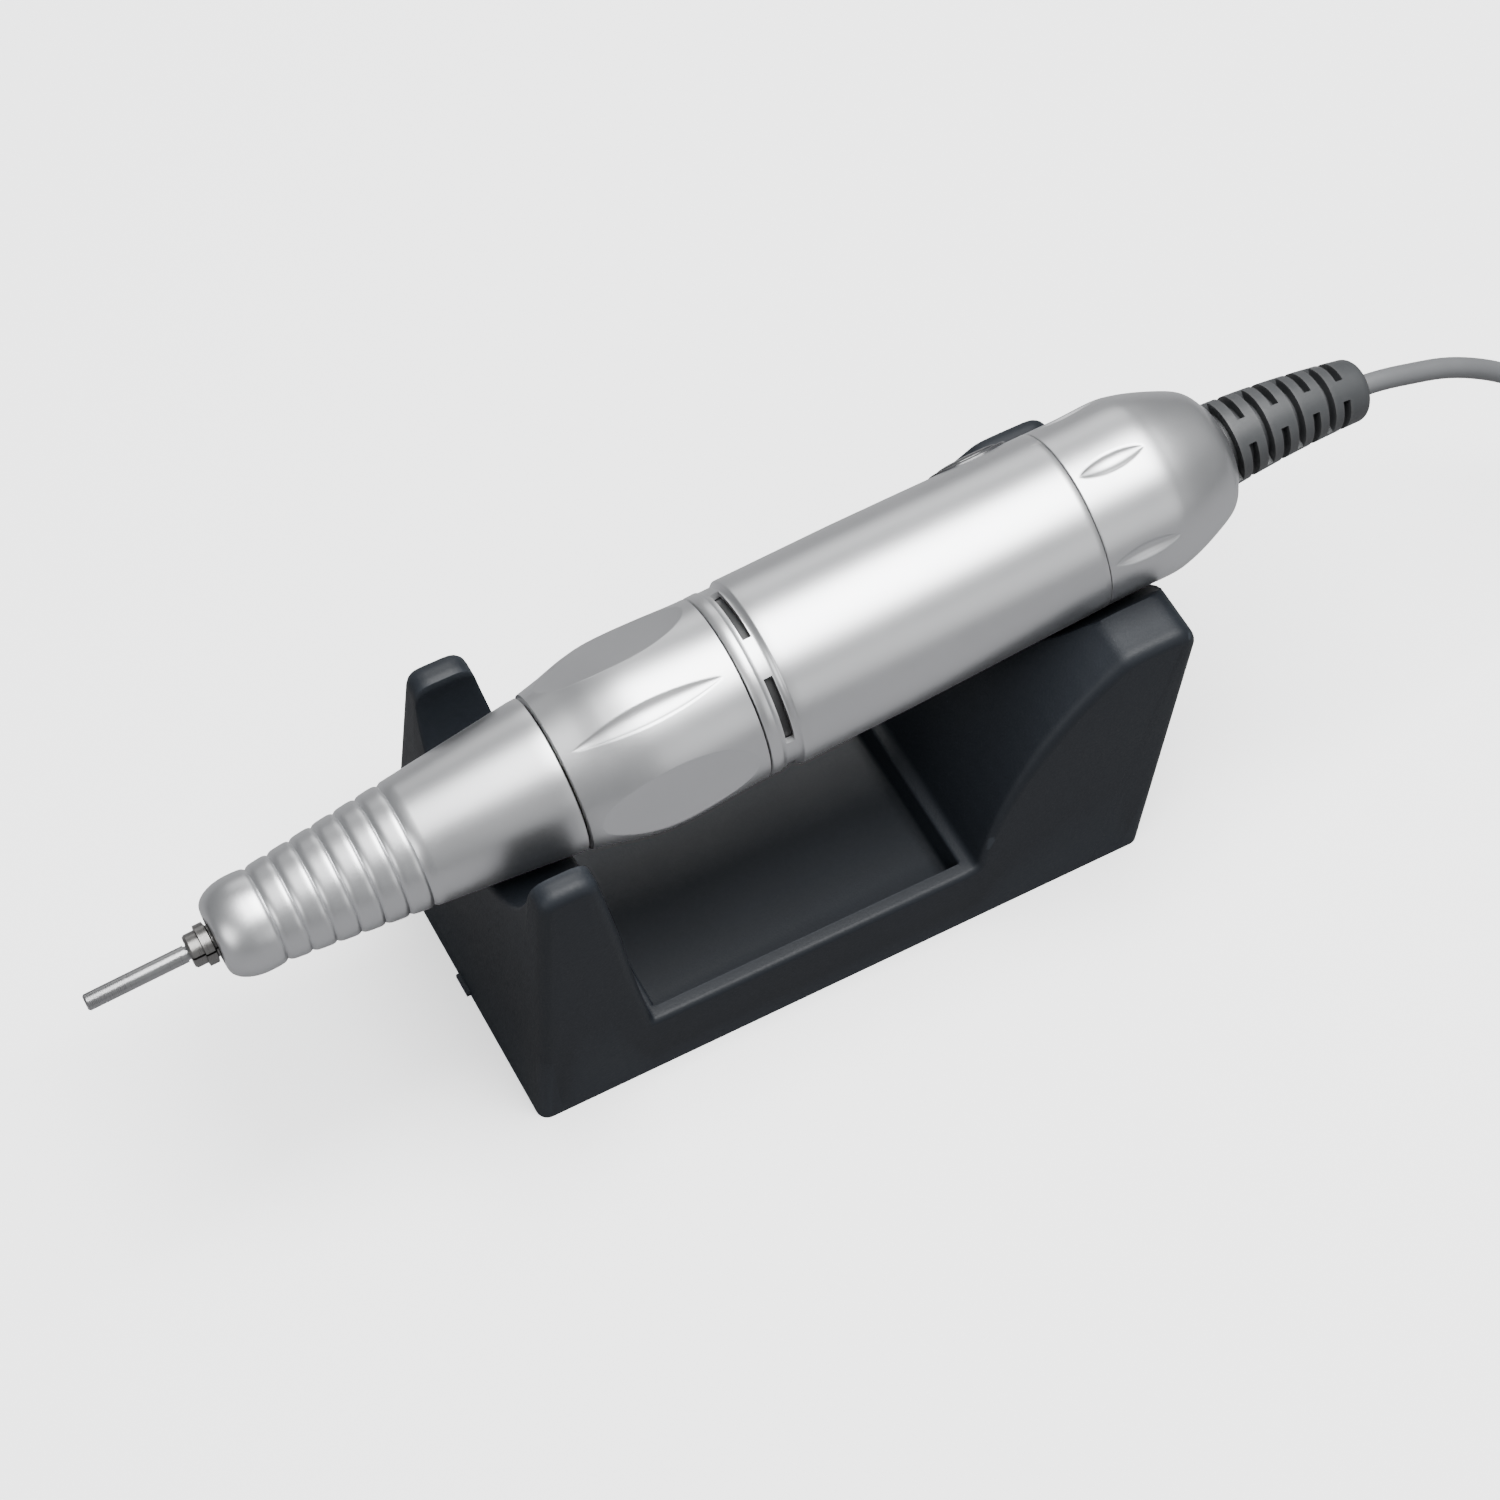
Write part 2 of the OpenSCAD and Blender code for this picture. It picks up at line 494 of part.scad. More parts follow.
// ---- rear end of the handpiece ----
CLAMP_Z = 56;
module bulkhead() color("#1c1c1e") on_axis() difference() {
    union() {
        rod(CHASSIS_R - 0.1, 44.8, 45.85);
        rod(CAP_BORE - 0.1, 45.8, 49);
        for (s = [-1, 1]) translate([-5, s * 5 - 1.6, 49]) cube([10, 3.2, CLAMP_Z - 49]);
    }
    rod(2.4, 44, 50);
    for (s = [-1, 1]) translate([0, s * 5, CLAMP_Z - 5]) cylinder(r = 0.8, h = 6);
}
module cable_clamp() color("#2a2a2c") on_axis() difference() {
    translate([-2.2, -6.6, CLAMP_Z + 0.02]) cube([4.4, 13.2, 3]);
    rod(cord_r + 0.02, CLAMP_Z - 1, CLAMP_Z + 4);
    for (s = [-1, 1]) translate([0, s * 5, CLAMP_Z - 1]) cylinder(r = 0.9, h = 5);
}
module clamp_screws() color("gray") on_axis() for (s = [-1, 1]) translate([0, s * 5, 0]) difference() {
    union() {
        rod(0.78, CLAMP_Z - 4, CLAMP_Z + 3.2);
        rod(1.5, CLAMP_Z + 3.05, CLAMP_Z + 4.2);
    }
    translate([-0.2, -0.9, CLAMP_Z + 3.8]) cube([0.4, 1.8, 1]);
}
WIRE_R = 0.55;
// each wire runs in to the middle of the bulkhead, then straight back to the cord
module lead_wires() color("firebrick") on_axis() rotate([0, 0, TERMINAL_ANGLE]) for (s = [-1, 1]) {
    bends = [[s * 6.55, 36.1], [s * 1.1, 43.5], [s * 0.75, 54.9]];
    for (i = [0, 1]) hull() for (p = [bends[i], bends[i + 1]])
        translate([p[0], 0, p[1]]) sphere(r = WIRE_R, $fn = 10);
}

// the boot: a head inside the cap, then rings on a core that bends down by equal steps
BOOT_RINGS = 9;
BOOT_STEP = boot_length / BOOT_RINGS;
BOOT_TURN = boot_bend / BOOT_RINGS;
BOOT_CUT = 0.9;             // width of the cut between two rings
module boot_link(k) {
    r0 = boot_front_r + (boot_rear_r - boot_front_r) * k / BOOT_RINGS;
    r1 = boot_front_r + (boot_rear_r - boot_front_r) * (k + 1) / BOOT_RINGS;
    last = k == BOOT_RINGS - 1;
    cylinder(r = r1 - 1.2, h = BOOT_STEP + (last ? 0 : 0.15));
    translate([0, 0, BOOT_CUT]) cylinder(r = (r0 + r1) / 2, h = BOOT_STEP - BOOT_CUT);
    if (!last) translate([0, 0, BOOT_STEP]) rotate([0, BOOT_TURN, 0]) boot_link(k + 1);
}
module strain_boot() color("#4a4b4d") on_axis() union() {
    rod(7.3, 64.5, 66.3);
    rod(boot_front_r - 0.1, 66.2, cap_rear + 0.05);
    rod(cord_r, CLAMP_Z - 0.4, 64.6);
    translate([0, 0, cap_rear]) boot_link(0);
}

// ---- cradle ----
FRONT_LEAN = 4.2;           // how far the front face leans back over the prongs' height
REAR_LEAN = 7;              // how far the rear face leans back
REAR_TOP = 45;              // height of the rear prongs
CREST_R = 3;                // round corner behind their tops
DRAFT = 0.07;               // side walls lean in by this per millimetre of height
PRONG_ROUND = 3;            // round corner in front of the front prongs' tops
PRONG_BACK_R = 1.6;         // round corner behind them
PRONG_BACK_X = -35.6;
SHOULDER_R = 2.6;           // round edge between a prong's top and its side
RAMP_R = 52;                // radius of the rear ramp
RAMP_C = [72, 1];           // its centre, in X and Z
RAMP_END = 123.6;           // angle at which the ramp reaches the prongs' height
TRAY_FLOOR = 6.2;
TRAY_X = [-28.4, 19];       // stations of the tray's two ends
half_l = cradle_length / 2;
half_w = cradle_width / 2;
// outline of the cradle seen from its side: front face, front prong, rim, rear ramp, rear face
SIDE = concat(
    [[-half_l, 0]],
    arc([-half_l + FRONT_LEAN + PRONG_ROUND, prong_height - PRONG_ROUND], PRONG_ROUND, 176, 90, 6),
    arc([PRONG_BACK_X - PRONG_BACK_R, prong_height - PRONG_BACK_R], PRONG_BACK_R, 90, 8, 5),
    [[-33, 34], [-31.2, 20], [-29.9, rim_height], [20.7, rim_height]],
    arc(RAMP_C, RAMP_R, 168, RAMP_END, 12),
    arc([half_l + REAR_LEAN - CREST_R, REAR_TOP - CREST_R], CREST_R, 92, -9, 8),
    [[half_l, 0]]);
function wall_y(z, inset) = half_w - inset - DRAFT * z;
// cross-section of the cradle, with round shoulders on the prongs
function section(inset) = concat(
    [[-wall_y(0, inset), 0]],
    reversed(arc([-wall_y(prong_height, inset) + SHOULDER_R, prong_height - SHOULDER_R], SHOULDER_R, 90, 176, 6)),
    reversed(arc([wall_y(prong_height, inset) - SHOULDER_R, prong_height - SHOULDER_R], SHOULDER_R, 4, 90, 6)),
    [[wall_y(0, inset), 0]]);
module across_x(x0, x1) {
    translate([x0, 0, 0]) rotate([90, 0, 90]) linear_extrude(x1 - x0) children();
}
module across_y(half) {
    translate([0, half, 0]) rotate([90, 0, 0]) linear_extrude(2 * half) children();
}
PLATE_TOP = 3;
PLATE_INSET = 4;            // width of the foot in front of and behind the base plate
PLATE_INSET_SIDE = 5;       // width of the foot beside it
PLATE_GAP = 0.15;
REAR_SADDLE_UP = 1.05;      // how far the rear saddle's axis lies over the handpiece's
// hollows under the uprights: front, foot of the ramp, back
HOLLOWS = [[-43, -35.2, 29], [24, 32, 18], [31, 44, 30]];
HOLLOW_HALF = 18;
module cradle_shell() color("#20252b") difference() {
    intersection() {
        across_y(30) polygon(SIDE);
        across_x(-60, 60) polygon(section(0));
    }
    // tray between the uprights
    intersection() {
        translate([TRAY_X[0], -30, TRAY_FLOOR]) cube([TRAY_X[1] - TRAY_X[0], 60, 20]);
        across_x(-60, 60) polygon(section(cradle_wall));
    }
    // saddles
    translate([-60, 0, prong_height]) rotate([0, 90, 0]) cylinder(r = front_saddle_r, h = 60, $fn = 72);
    on_axis() translate([-REAR_SADDLE_UP, 0, 20]) cylinder(r = rear_saddle_r, h = 50, $fn = 72);
    // open underside
    translate([-half_l + PLATE_INSET, -half_w + PLATE_INSET_SIDE, -1])
        cube([cradle_length - 2 * PLATE_INSET, cradle_width - 2 * PLATE_INSET_SIDE, PLATE_TOP + 1.05]);
    translate([-half_l - 1, -TAB_HALF - 0.05, -1]) cube([6, 2 * TAB_HALF + 0.1, 1.75]);
    for (h = HOLLOWS) translate([h[0], -HOLLOW_HALF, 0]) cube([h[1] - h[0], 2 * HOLLOW_HALF, h[2]]);
    for (x = SCREW_X, y = SCREW_Y) translate([x, y, 2]) cylinder(r = 0.9, h = 3.3);
}
SCREW_X = [-25, 20];
SCREW_Y = [-13, 13];
PAD_X = [-38, 38];
PAD_Y = [-14, 14];
PAD_R = 4;
TAB_HALF = 1.8;             // half width of the plate's tab under the front face
module base_plate() color("#1b1e22") difference() {
    union() {
        translate([-half_l + PLATE_INSET + PLATE_GAP, -half_w + PLATE_INSET_SIDE + PLATE_GAP, 0])
            cube([cradle_length - 2 * (PLATE_INSET + PLATE_GAP),
                cradle_width - 2 * (PLATE_INSET_SIDE + PLATE_GAP), PLATE_TOP]);
        translate([-half_l - 0.55, -TAB_HALF, 0]) cube([5, 2 * TAB_HALF, 0.7]);
    }
    for (x = SCREW_X, y = SCREW_Y) translate([x, y, -cut]) {
        cylinder(r = 1.1, h = 4);
        cylinder(r = 2.3, h = 1.3 + cut);
    }
    for (x = PAD_X, y = PAD_Y) translate([x, y, -cut]) cylinder(r = PAD_R + fit, h = 1.5 + cut);
}
module rubber_feet() color("#0c0c0c") for (x = PAD_X, y = PAD_Y)
    translate([x, y, 0]) cylinder(r = PAD_R, h = 1.48);
module plate_screws() color("gray") for (x = SCREW_X, y = SCREW_Y) translate([x, y, 0]) difference() {
    union() {
        translate([0, 0, 1.3]) cylinder(r = 0.88, h = 3.7);
        translate([0, 0, 0.4]) cylinder(r = 2.1, h = 0.88);
    }
    for (a = [0, 90]) rotate([0, 0, a]) translate([-1.3, -0.25, 0]) cube([2.6, 0.5, 0.9]);
}

// ---- cord ----
// the end of the boot, found by walking its links
function walk(p, a, k) = k == BOOT_RINGS ? [p, a + BOOT_TURN] :
    walk(p + BOOT_STEP * [cos(a), -sin(a)], k == BOOT_RINGS - 1 ? a : a + BOOT_TURN, k + 1);
CAP_END = [cap_rear * cos(axis_rise), axis_height + cap_rear * sin(axis_rise)];
BOOT_END = walk(CAP_END, -axis_rise, 0);
START = [BOOT_END[0][0] + 0.3, 0, BOOT_END[0][1] - 0.05];
COIL_X = 178;
COIL_HALF = 6;              // half width of the bundle of turns
COIL_TOP = 8.4;
FLOOR_Z = cord_r + 0.05;
ROUTE = [
    START, START + [3, 0, -0.4], [102, 0, 48.5], [108, 0, 46.2], [115, -0.5, 42.1], [122, -1, 36.2],
    [128.5, -2, 28.8], [133.5, -3.5, 21.6], [138, -6, 14.4], [142.5, -9, 8.3], [147, -12.5, 4.2],
    [151.5, -16, FLOOR_Z + 0.5], [156, -18.8, FLOOR_Z], [161, -20.5, FLOOR_Z], [166, -21.2, FLOOR_Z]];
SIDES = 8;
PATH = spline(ROUTE, 2);
function unit(v) = v / norm(v);
function heading(i) = unit(PATH[min(i + 1, len(PATH) - 1)] - PATH[max(i - 1, 0)]);
function side_of(i) = unit(cross(heading(i), [0, 0, 1]));
function ring(i) = let (u = side_of(i), w = cross(u, heading(i)))
    [for (k = [0:SIDES - 1]) PATH[i] + cord_r * (cos(360 * k / SIDES) * u + sin(360 * k / SIDES) * w)];
module cord_tube() color("#77797b") polyhedron(
    points = [for (i = [0:len(PATH) - 1]) each ring(i)],
    faces = concat(
        [[for (k = [0:SIDES - 1]) k]],
        [for (i = [0:len(PATH) - 2], k = [0:SIDES - 1]) let (a = i * SIDES + k, b = i * SIDES + (k + 1) % SIDES)
            [a, a + SIDES, b + SIDES, b]],
        [[for (k = [SIDES - 1:-1:0]) (len(PATH) - 1) * SIDES + k]]));
module cord_coil() color("#77797b") translate([COIL_X, 0, 0]) rotate_extrude()
    translate([coil_mid_r - COIL_HALF, 0]) polygon([
        [1.2, 0.05], [2 * COIL_HALF - 1.2, 0.05], [2 * COIL_HALF, 1.3], [2 * COIL_HALF, COIL_TOP - 1.3],
        [2 * COIL_HALF - 1.2, COIL_TOP], [1.2, COIL_TOP], [0, COIL_TOP - 1.3], [0, 1.3]]);

PLUG_X = COIL_X + 12;       // the plug lies across the top of the coil
PLUG_Y = -10;
PLUG_Z = COIL_TOP + 4.3;
PLUG_R = 4;
module on_plug() {
    translate([PLUG_X, PLUG_Y, PLUG_Z]) rotate([-90, 0, 0]) children();
}
JACK_R = 1.75;
module jack_body() color("#1d1e20") on_plug() difference() {
    rotate_extrude() polygon([
        [0, -4], [2.2, -4], [2.6, 0], [PLUG_R - 0.4, 3], [PLUG_R, 4.5], [PLUG_R, 19], [PLUG_R - 0.6, 20], [0, 20]]);
    rod(JACK_R - 0.25 + fit, 17, 21);
}
module jack_pin() color("gold") on_plug() rotate_extrude() polygon([
    [0, 17.2], [JACK_R - 0.25, 17.2], [JACK_R - 0.25, 20.05], [JACK_R, 20.05], [JACK_R, 30], [1.15, 30.6],
    [1.15, 31], [1.55, 31.7], [1.5, 32.4], [0.5, 33.8], [0, 33.9]]);

// ---- every node ----
cradle_shell();
base_plate();
rubber_feet();
plate_screws();
blank_pin();
collet();
draw_rod();
cross_pin();
release_collar();
spring_washers();
spindle();
spindle_outer_races();
spindle_inner_races();
spindle_balls();
spindle_housing();
dust_seal();
nose_cone();
nose_seal();
barrel();
lock_sleeve();
cam_ring();
pusher();
cam_pins();
stop_ball();
stop_spring();
driven_coupling();
driver_coupling();
motor_can();
magnets();
armature_core();
windings();
commutator();
motor_shaft();
motor_outer_races();
motor_inner_races();
motor_balls();
end_bell();
brushes();
brush_springs();
terminals();
chassis();
body_tube();
power_button();
button_bezel();
button_spring();
switch_body();
switch_board();
bulkhead();
cable_clamp();
clamp_screws();
lead_wires();
rear_cap();
strain_boot();
cord_tube();
cord_coil();
jack_body();
jack_pin();
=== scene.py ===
import bmesh
import bpy
import numpy as np
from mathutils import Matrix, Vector


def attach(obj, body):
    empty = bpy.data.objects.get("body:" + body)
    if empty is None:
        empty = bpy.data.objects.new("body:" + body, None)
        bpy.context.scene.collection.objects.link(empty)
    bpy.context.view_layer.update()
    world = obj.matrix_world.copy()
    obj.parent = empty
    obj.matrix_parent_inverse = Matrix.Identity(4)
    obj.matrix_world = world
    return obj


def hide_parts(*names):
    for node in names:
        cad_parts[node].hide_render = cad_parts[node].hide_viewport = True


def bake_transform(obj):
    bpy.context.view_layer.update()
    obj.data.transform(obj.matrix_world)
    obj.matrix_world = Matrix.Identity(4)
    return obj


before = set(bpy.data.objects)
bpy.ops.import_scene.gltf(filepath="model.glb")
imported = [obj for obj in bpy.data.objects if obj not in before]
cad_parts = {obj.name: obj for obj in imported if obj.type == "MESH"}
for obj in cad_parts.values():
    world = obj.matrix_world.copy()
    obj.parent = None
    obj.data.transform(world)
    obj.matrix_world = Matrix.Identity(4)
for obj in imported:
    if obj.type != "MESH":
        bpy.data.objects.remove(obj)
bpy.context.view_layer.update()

# ---------------------------------------------------------------------------------------------
# The table, the lights and the camera
# A plain table under one broad softbox overhead and three weak ones. Its top is pale and glows
# faintly to the camera, and a mid grey to every other ray, so that the metal keeps dark sides.
# The camera stands high over the nose's near side and looks along the handpiece to the cord.
# ---------------------------------------------------------------------------------------------
MM = 0.001
scene = bpy.context.scene


def new_tree(name):
    """An empty shader tree with its output node; returns the material, its nodes and its links."""
    material = bpy.data.materials.new(name)
    material.use_nodes = True
    tree = material.node_tree
    tree.nodes.clear()
    return material, tree, tree.nodes.new("ShaderNodeOutputMaterial")


def add(tree, kind, settings=None, **inputs):
    """Adds one shader node: settings go on the node, inputs are values or the sockets that feed it."""
    made = tree.nodes.new("ShaderNode" + kind)
    for key, value in (settings or {}).items():
        setattr(made, key, value)
    for key, value in inputs.items():
        socket = made.inputs[key.replace("_", " ")]
        if isinstance(value, bpy.types.NodeSocket):
            tree.links.new(value, socket)
        else:
            socket.default_value = value
    return made


def plain_mesh(name, points, faces, smooth=True):
    """An object at the origin from an array of points and an array of faces with equal corner counts."""
    mesh = bpy.data.meshes.new(name)
    mesh.from_pydata(np.asarray(points, float), [], np.asarray(faces, int).tolist())
    mesh.polygons.foreach_set("use_smooth", np.full(len(mesh.polygons), smooth))
    made = bpy.data.objects.new(name, mesh)
    scene.collection.objects.link(made)
    return made


TABLE_HALF = 6.0
table_corners = np.array([[-1, -1, 0], [1, -1, 0], [1, 1, 0], [-1, 1, 0]]) * TABLE_HALF
table_top = plain_mesh("table_top", table_corners, [[0, 1, 2, 3]])
laminate, laminate_tree, laminate_out = new_tree("pale_laminate")
laminate_place = add(laminate_tree, "TexCoord").outputs["Object"]
laminate_mottle = add(laminate_tree, "TexNoise", Vector=laminate_place, Scale=3.0, Detail=2.0)
laminate_tone = add(laminate_tree, "ValToRGB", Fac=laminate_mottle.outputs["Fac"])
laminate_tone.color_ramp.elements[0].color = (0.86, 0.865, 0.87, 1)
laminate_tone.color_ramp.elements[1].color = (0.90, 0.90, 0.90, 1)
seen_top = add(laminate_tree, "BsdfDiffuse", Color=laminate_tone.outputs["Color"])
grey_top = add(laminate_tree, "BsdfDiffuse", Color=(0.20, 0.20, 0.205, 1))
eye = add(laminate_tree, "LightPath").outputs["Is Camera Ray"]
laminate_mix = add(laminate_tree, "MixShader", Fac=eye)
laminate_tree.links.new(grey_top.outputs[0], laminate_mix.inputs[1])
glow = add(laminate_tree, "Emission", Color=laminate_tone.outputs["Color"], Strength=1.1)
lit_top = add(laminate_tree, "AddShader")
laminate_tree.links.new(seen_top.outputs[0], lit_top.inputs[0])
laminate_tree.links.new(glow.outputs[0], lit_top.inputs[1])
laminate_tree.links.new(lit_top.outputs[0], laminate_mix.inputs[2])
laminate_tree.links.new(laminate_mix.outputs[0], laminate_out.inputs["Surface"])
table_top.data.materials.append(laminate)

SOFTBOXES = [                    # place, point that it faces, width, depth, watts
    ((0.14, 0.0, 0.80), (0.0, 0.0, 0.04), 0.70, 0.44, 19.5),
    ((-0.75, -0.35, 0.45), (-0.03, 0.0, 0.03), 0.45, 0.45, 2.6),
    ((0.30, -0.80, 0.35), (0.02, 0.0, 0.03), 0.60, 0.45, 1.1),
    ((0.20, 0.85, 0.40), (0.0, 0.0, 0.03), 0.60, 0.35, 1.2),
]
for number, (place, faced, width, depth, watts) in enumerate(SOFTBOXES):
    lamp = bpy.data.lights.new(f"softbox_{number}", "AREA")
    lamp.shape, lamp.size, lamp.size_y, lamp.energy = "RECTANGLE", width, depth, watts
    stand = bpy.data.objects.new(lamp.name, lamp)
    stand.location = place
    stand.rotation_euler = (Vector(faced) - Vector(place)).to_track_quat("-Z", "Y").to_euler()
    scene.collection.objects.link(stand)
world = bpy.data.worlds.new("studio_air")
scene.world = world
world.use_nodes = True
world.node_tree.nodes["Background"].inputs["Color"].default_value = (0.96, 0.98, 1.0, 1)
world.node_tree.nodes["Background"].inputs["Strength"].default_value = 0.33

EYE = Vector((-0.13803, -0.25361, 0.48829))
LOOK_AT = Vector((-0.003148, -0.000993, 0.030))
camera_data = bpy.data.cameras.new("camera")
camera_data.lens, camera_data.sensor_width = 94.8, 36.0
camera = bpy.data.objects.new("camera", camera_data)
camera.location = EYE
camera.rotation_euler = (LOOK_AT - EYE).to_track_quat("-Z", "Y").to_euler()
scene.collection.objects.link(camera)
scene.camera = camera

# ---------------------------------------------------------------------------------------------
# The cradle
# One hollow moulding of blue-black ABS with a finely textured skin: a front upright and a rear
# ramp, each with a round saddle, joined by a low tray. Its edges are rounded in the mould.
# ---------------------------------------------------------------------------------------------
HALF_LONG, HALF_WIDE, PRONG_TOP = 48.0, 24.2, 50.0
DRAFT, FRONT_LEAN, REAR_LEAN = 0.07, 0.084, 0.1675       # millimetres sideways for each upwards
REAR_TOP, CREST_R, REAR_END = 45.0, 3.0, 55.0
TRAY_FLOOR, RIM, TRAY_FRONT, TRAY_REAR, WALL = 6.2, 11.5, -28.4, 19.0, 2.5
FRONT_FOOT_X, RAMP_FOOT_X = -29.9, 20.7                  # where the upright and the ramp meet the rim
RAMP_X, RAMP_Z, RAMP_R = 72.0, 1.0, 52.0                 # the ramp is an arc round this point
RAMP_FROM, RAMP_TO = np.radians(168), np.radians(123.6)
RAMP_TOP_X, RAMP_TOP_Z = 43.2, 44.3
FRONT_SADDLE_R, REAR_SADDLE_R, REAR_SADDLE_UP = 16.7, 14.6, 1.05
AXIS_HEIGHT, AXIS_RISE = 47.1, np.radians(4.2)
ALONG = np.array([np.cos(AXIS_RISE), 0.0, np.sin(AXIS_RISE)])
UPWARD = np.array([-np.sin(AXIS_RISE), 0.0, np.cos(AXIS_RISE)])
EDGE_R, RIM_EDGE_R = 1.7, 0.9
PLATE_INSET, PLATE_INSET_SIDE, PLATE_RECESS = 3.99, 4.99, 3.05


def finish(name, colour, drift=0.12, rough=0.5, spread=0.08, metal=0.0, grain=900.0, depth=0.02,
           lay=(1.0, 1.0, 1.0), turn=(0.0, 0.0, 0.0), lighter_edges=None, coat=0.0, slow=60.0, specular=0.5):
    """A material from two noises on Object coordinates: the slow one drifts the colour and the gloss,
    the fine one is the grain that bumps the surface by depth millimetres. Where an edge colour is
    given, sharp convex edges, where pointiness is high, are mixed towards that lighter colour."""
    material, tree, out = new_tree(name)
    place = add(tree, "TexCoord").outputs["Object"]
    laid = add(tree, "Mapping", Vector=place, Scale=lay, Rotation=turn).outputs["Vector"]
    cloud = add(tree, "TexNoise", Vector=place, Scale=slow, Detail=4.0, Roughness=0.6).outputs["Fac"]
    fine = add(tree, "TexNoise", Vector=laid, Scale=grain, Detail=3.0, Roughness=0.55).outputs["Fac"]
    tone = add(tree, "ValToRGB", Fac=cloud)
    tone.color_ramp.elements[0].position, tone.color_ramp.elements[1].position = 0.3, 0.7
    tone.color_ramp.elements[0].color = (*[c * (1 - drift) for c in colour], 1)
    tone.color_ramp.elements[1].color = (*[min(1.0, c * (1 + drift)) for c in colour], 1)
    shade = tone.outputs["Color"]
    # the colour is lightened at sharp convex edges, where pointiness is high
    if lighter_edges:
        edge = add(tree, "NewGeometry").outputs["Pointiness"]
        amount = add(tree, "MapRange", Value=edge, From_Min=0.52, From_Max=0.62, To_Min=0.0, To_Max=0.7)
        lightened = add(tree, "Mix", {"data_type": "RGBA"}, Factor=amount.outputs["Result"])
        tree.links.new(shade, lightened.inputs[6])
        lightened.inputs[7].default_value = (*lighter_edges, 1)
        shade = lightened.outputs[2]
    both = add(tree, "Math", {"operation": "ADD"})
    tree.links.new(cloud, both.inputs[0])
    tree.links.new(fine, both.inputs[1])
    gloss = add(tree, "MapRange", Value=both.outputs[0], From_Min=0.6, From_Max=1.4,
                To_Min=rough - spread, To_Max=rough + spread)
    bump = add(tree, "Bump", Height=fine, Strength=0.6, Distance=depth * MM)
    skin = add(tree, "BsdfPrincipled", Base_Color=shade, Roughness=gloss.outputs["Result"],
               Metallic=metal, Normal=bump.outputs["Normal"], Coat_Weight=coat)
    skin.inputs["Specular IOR Level"].default_value = specular
    tree.links.new(skin.outputs[0], out.inputs["Surface"])
    return material


def outward(points, faces):
    """The faces, turned round if the sum of a.(b x c), six times the enclosed volume, is negative."""
    a, b, c, d = (points[faces[:, k]] for k in range(4))
    volume = np.einsum("ij,ij->", a, np.cross(b, c)) + np.einsum("ij,ij->", a, np.cross(c, d))
    return faces if volume > 0 else faces[:, ::-1]


def dress(node, material):
    """A carried-over node takes its finish, and its loose facets are joined and shaded as one surface,
    split again only where two faces meet at more than 32 degrees."""
    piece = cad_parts[node]
    piece.data.materials.clear()
    piece.data.materials.append(material)
    piece.data.polygons.foreach_set("use_smooth", np.ones(len(piece.data.polygons), bool))
    weld = piece.modifiers.new("joined", "WELD")
    weld.merge_threshold = 0.000002
    split = piece.modifiers.new("corners", "EDGE_SPLIT")
    split.split_angle = np.radians(32)


def rounded(corners, reach, steps=5):
    """Many open lines of corners at once: each corner b becomes (1-t)^2 a + 2t(1-t) b + t^2 c, where
    a and c lie on its two sides, reach away from it or less than half of the side."""
    rows, t = [corners[:1]], np.linspace(0, 1, steps)[:, None, None]
    for k in range(1, len(corners) - 1):
        back, ahead = corners[k - 1] - corners[k], corners[k + 1] - corners[k]
        back_l, ahead_l = (np.linalg.norm(v, axis=1, keepdims=True) + 1e-9 for v in (back, ahead))
        r = np.minimum(reach[k][:, None], 0.48 * np.minimum(back_l, ahead_l))
        a, b, c = corners[k] + back / back_l * r, corners[k], corners[k] + ahead / ahead_l * r
        rows.append((1 - t) ** 2 * a + 2 * t * (1 - t) * b + t**2 * c)
    return np.concatenate([*rows, corners[-1:]])


def lower(a, b, soft=0.8):
    """The lower of two heights, the corner between them round: (a + b - root((a-b)^2 + soft^2)) / 2."""
    return 0.5 * (a + b - np.sqrt((a - b) ** 2 + soft**2))


def wall_y(z):
    """Half the width of the moulding at a height: it narrows by the draft of the mould."""
    return HALF_WIDE - DRAFT * z


# columns across one half: turn is the angle round the saddle, beyond 90 degrees it is a step past it
turn = np.radians(np.concatenate([np.linspace(0, 78, 13), [82, 85, 87.5]]))
BESIDE = np.array([0.25, 0.8])                  # two columns on the flat beside the saddle
sine = np.sin(turn)
count = len(turn) + len(BESIDE) + 6             # then the tray's wall: four columns up it and two out


def saddle(r):
    """Depth of the lying cylinder's surface below its centre line for every column."""
    beside = np.concatenate([-4 * BESIDE, np.full(6, -40.0)])
    return np.concatenate([r * np.cos(turn), beside])


def at(x, z):
    """One corner for every column."""
    x, z = np.broadcast_arrays(x, z, np.empty(count))[:2]
    return np.stack([x, z], 1)


front_h = lower(PRONG_TOP, PRONG_TOP - saddle(FRONT_SADDLE_R))
floor_z = np.full(count, TRAY_FLOOR)
floor_z[-5:] = [TRAY_FLOOR + 0.25, RIM - 0.25, RIM, RIM, RIM]


def upright_x(z):
    """Rear edge of the front upright at a height."""
    return np.interp(z, [RIM, 20, 34, PRONG_TOP], [FRONT_FOOT_X, -31.2, -33.0, -35.6])


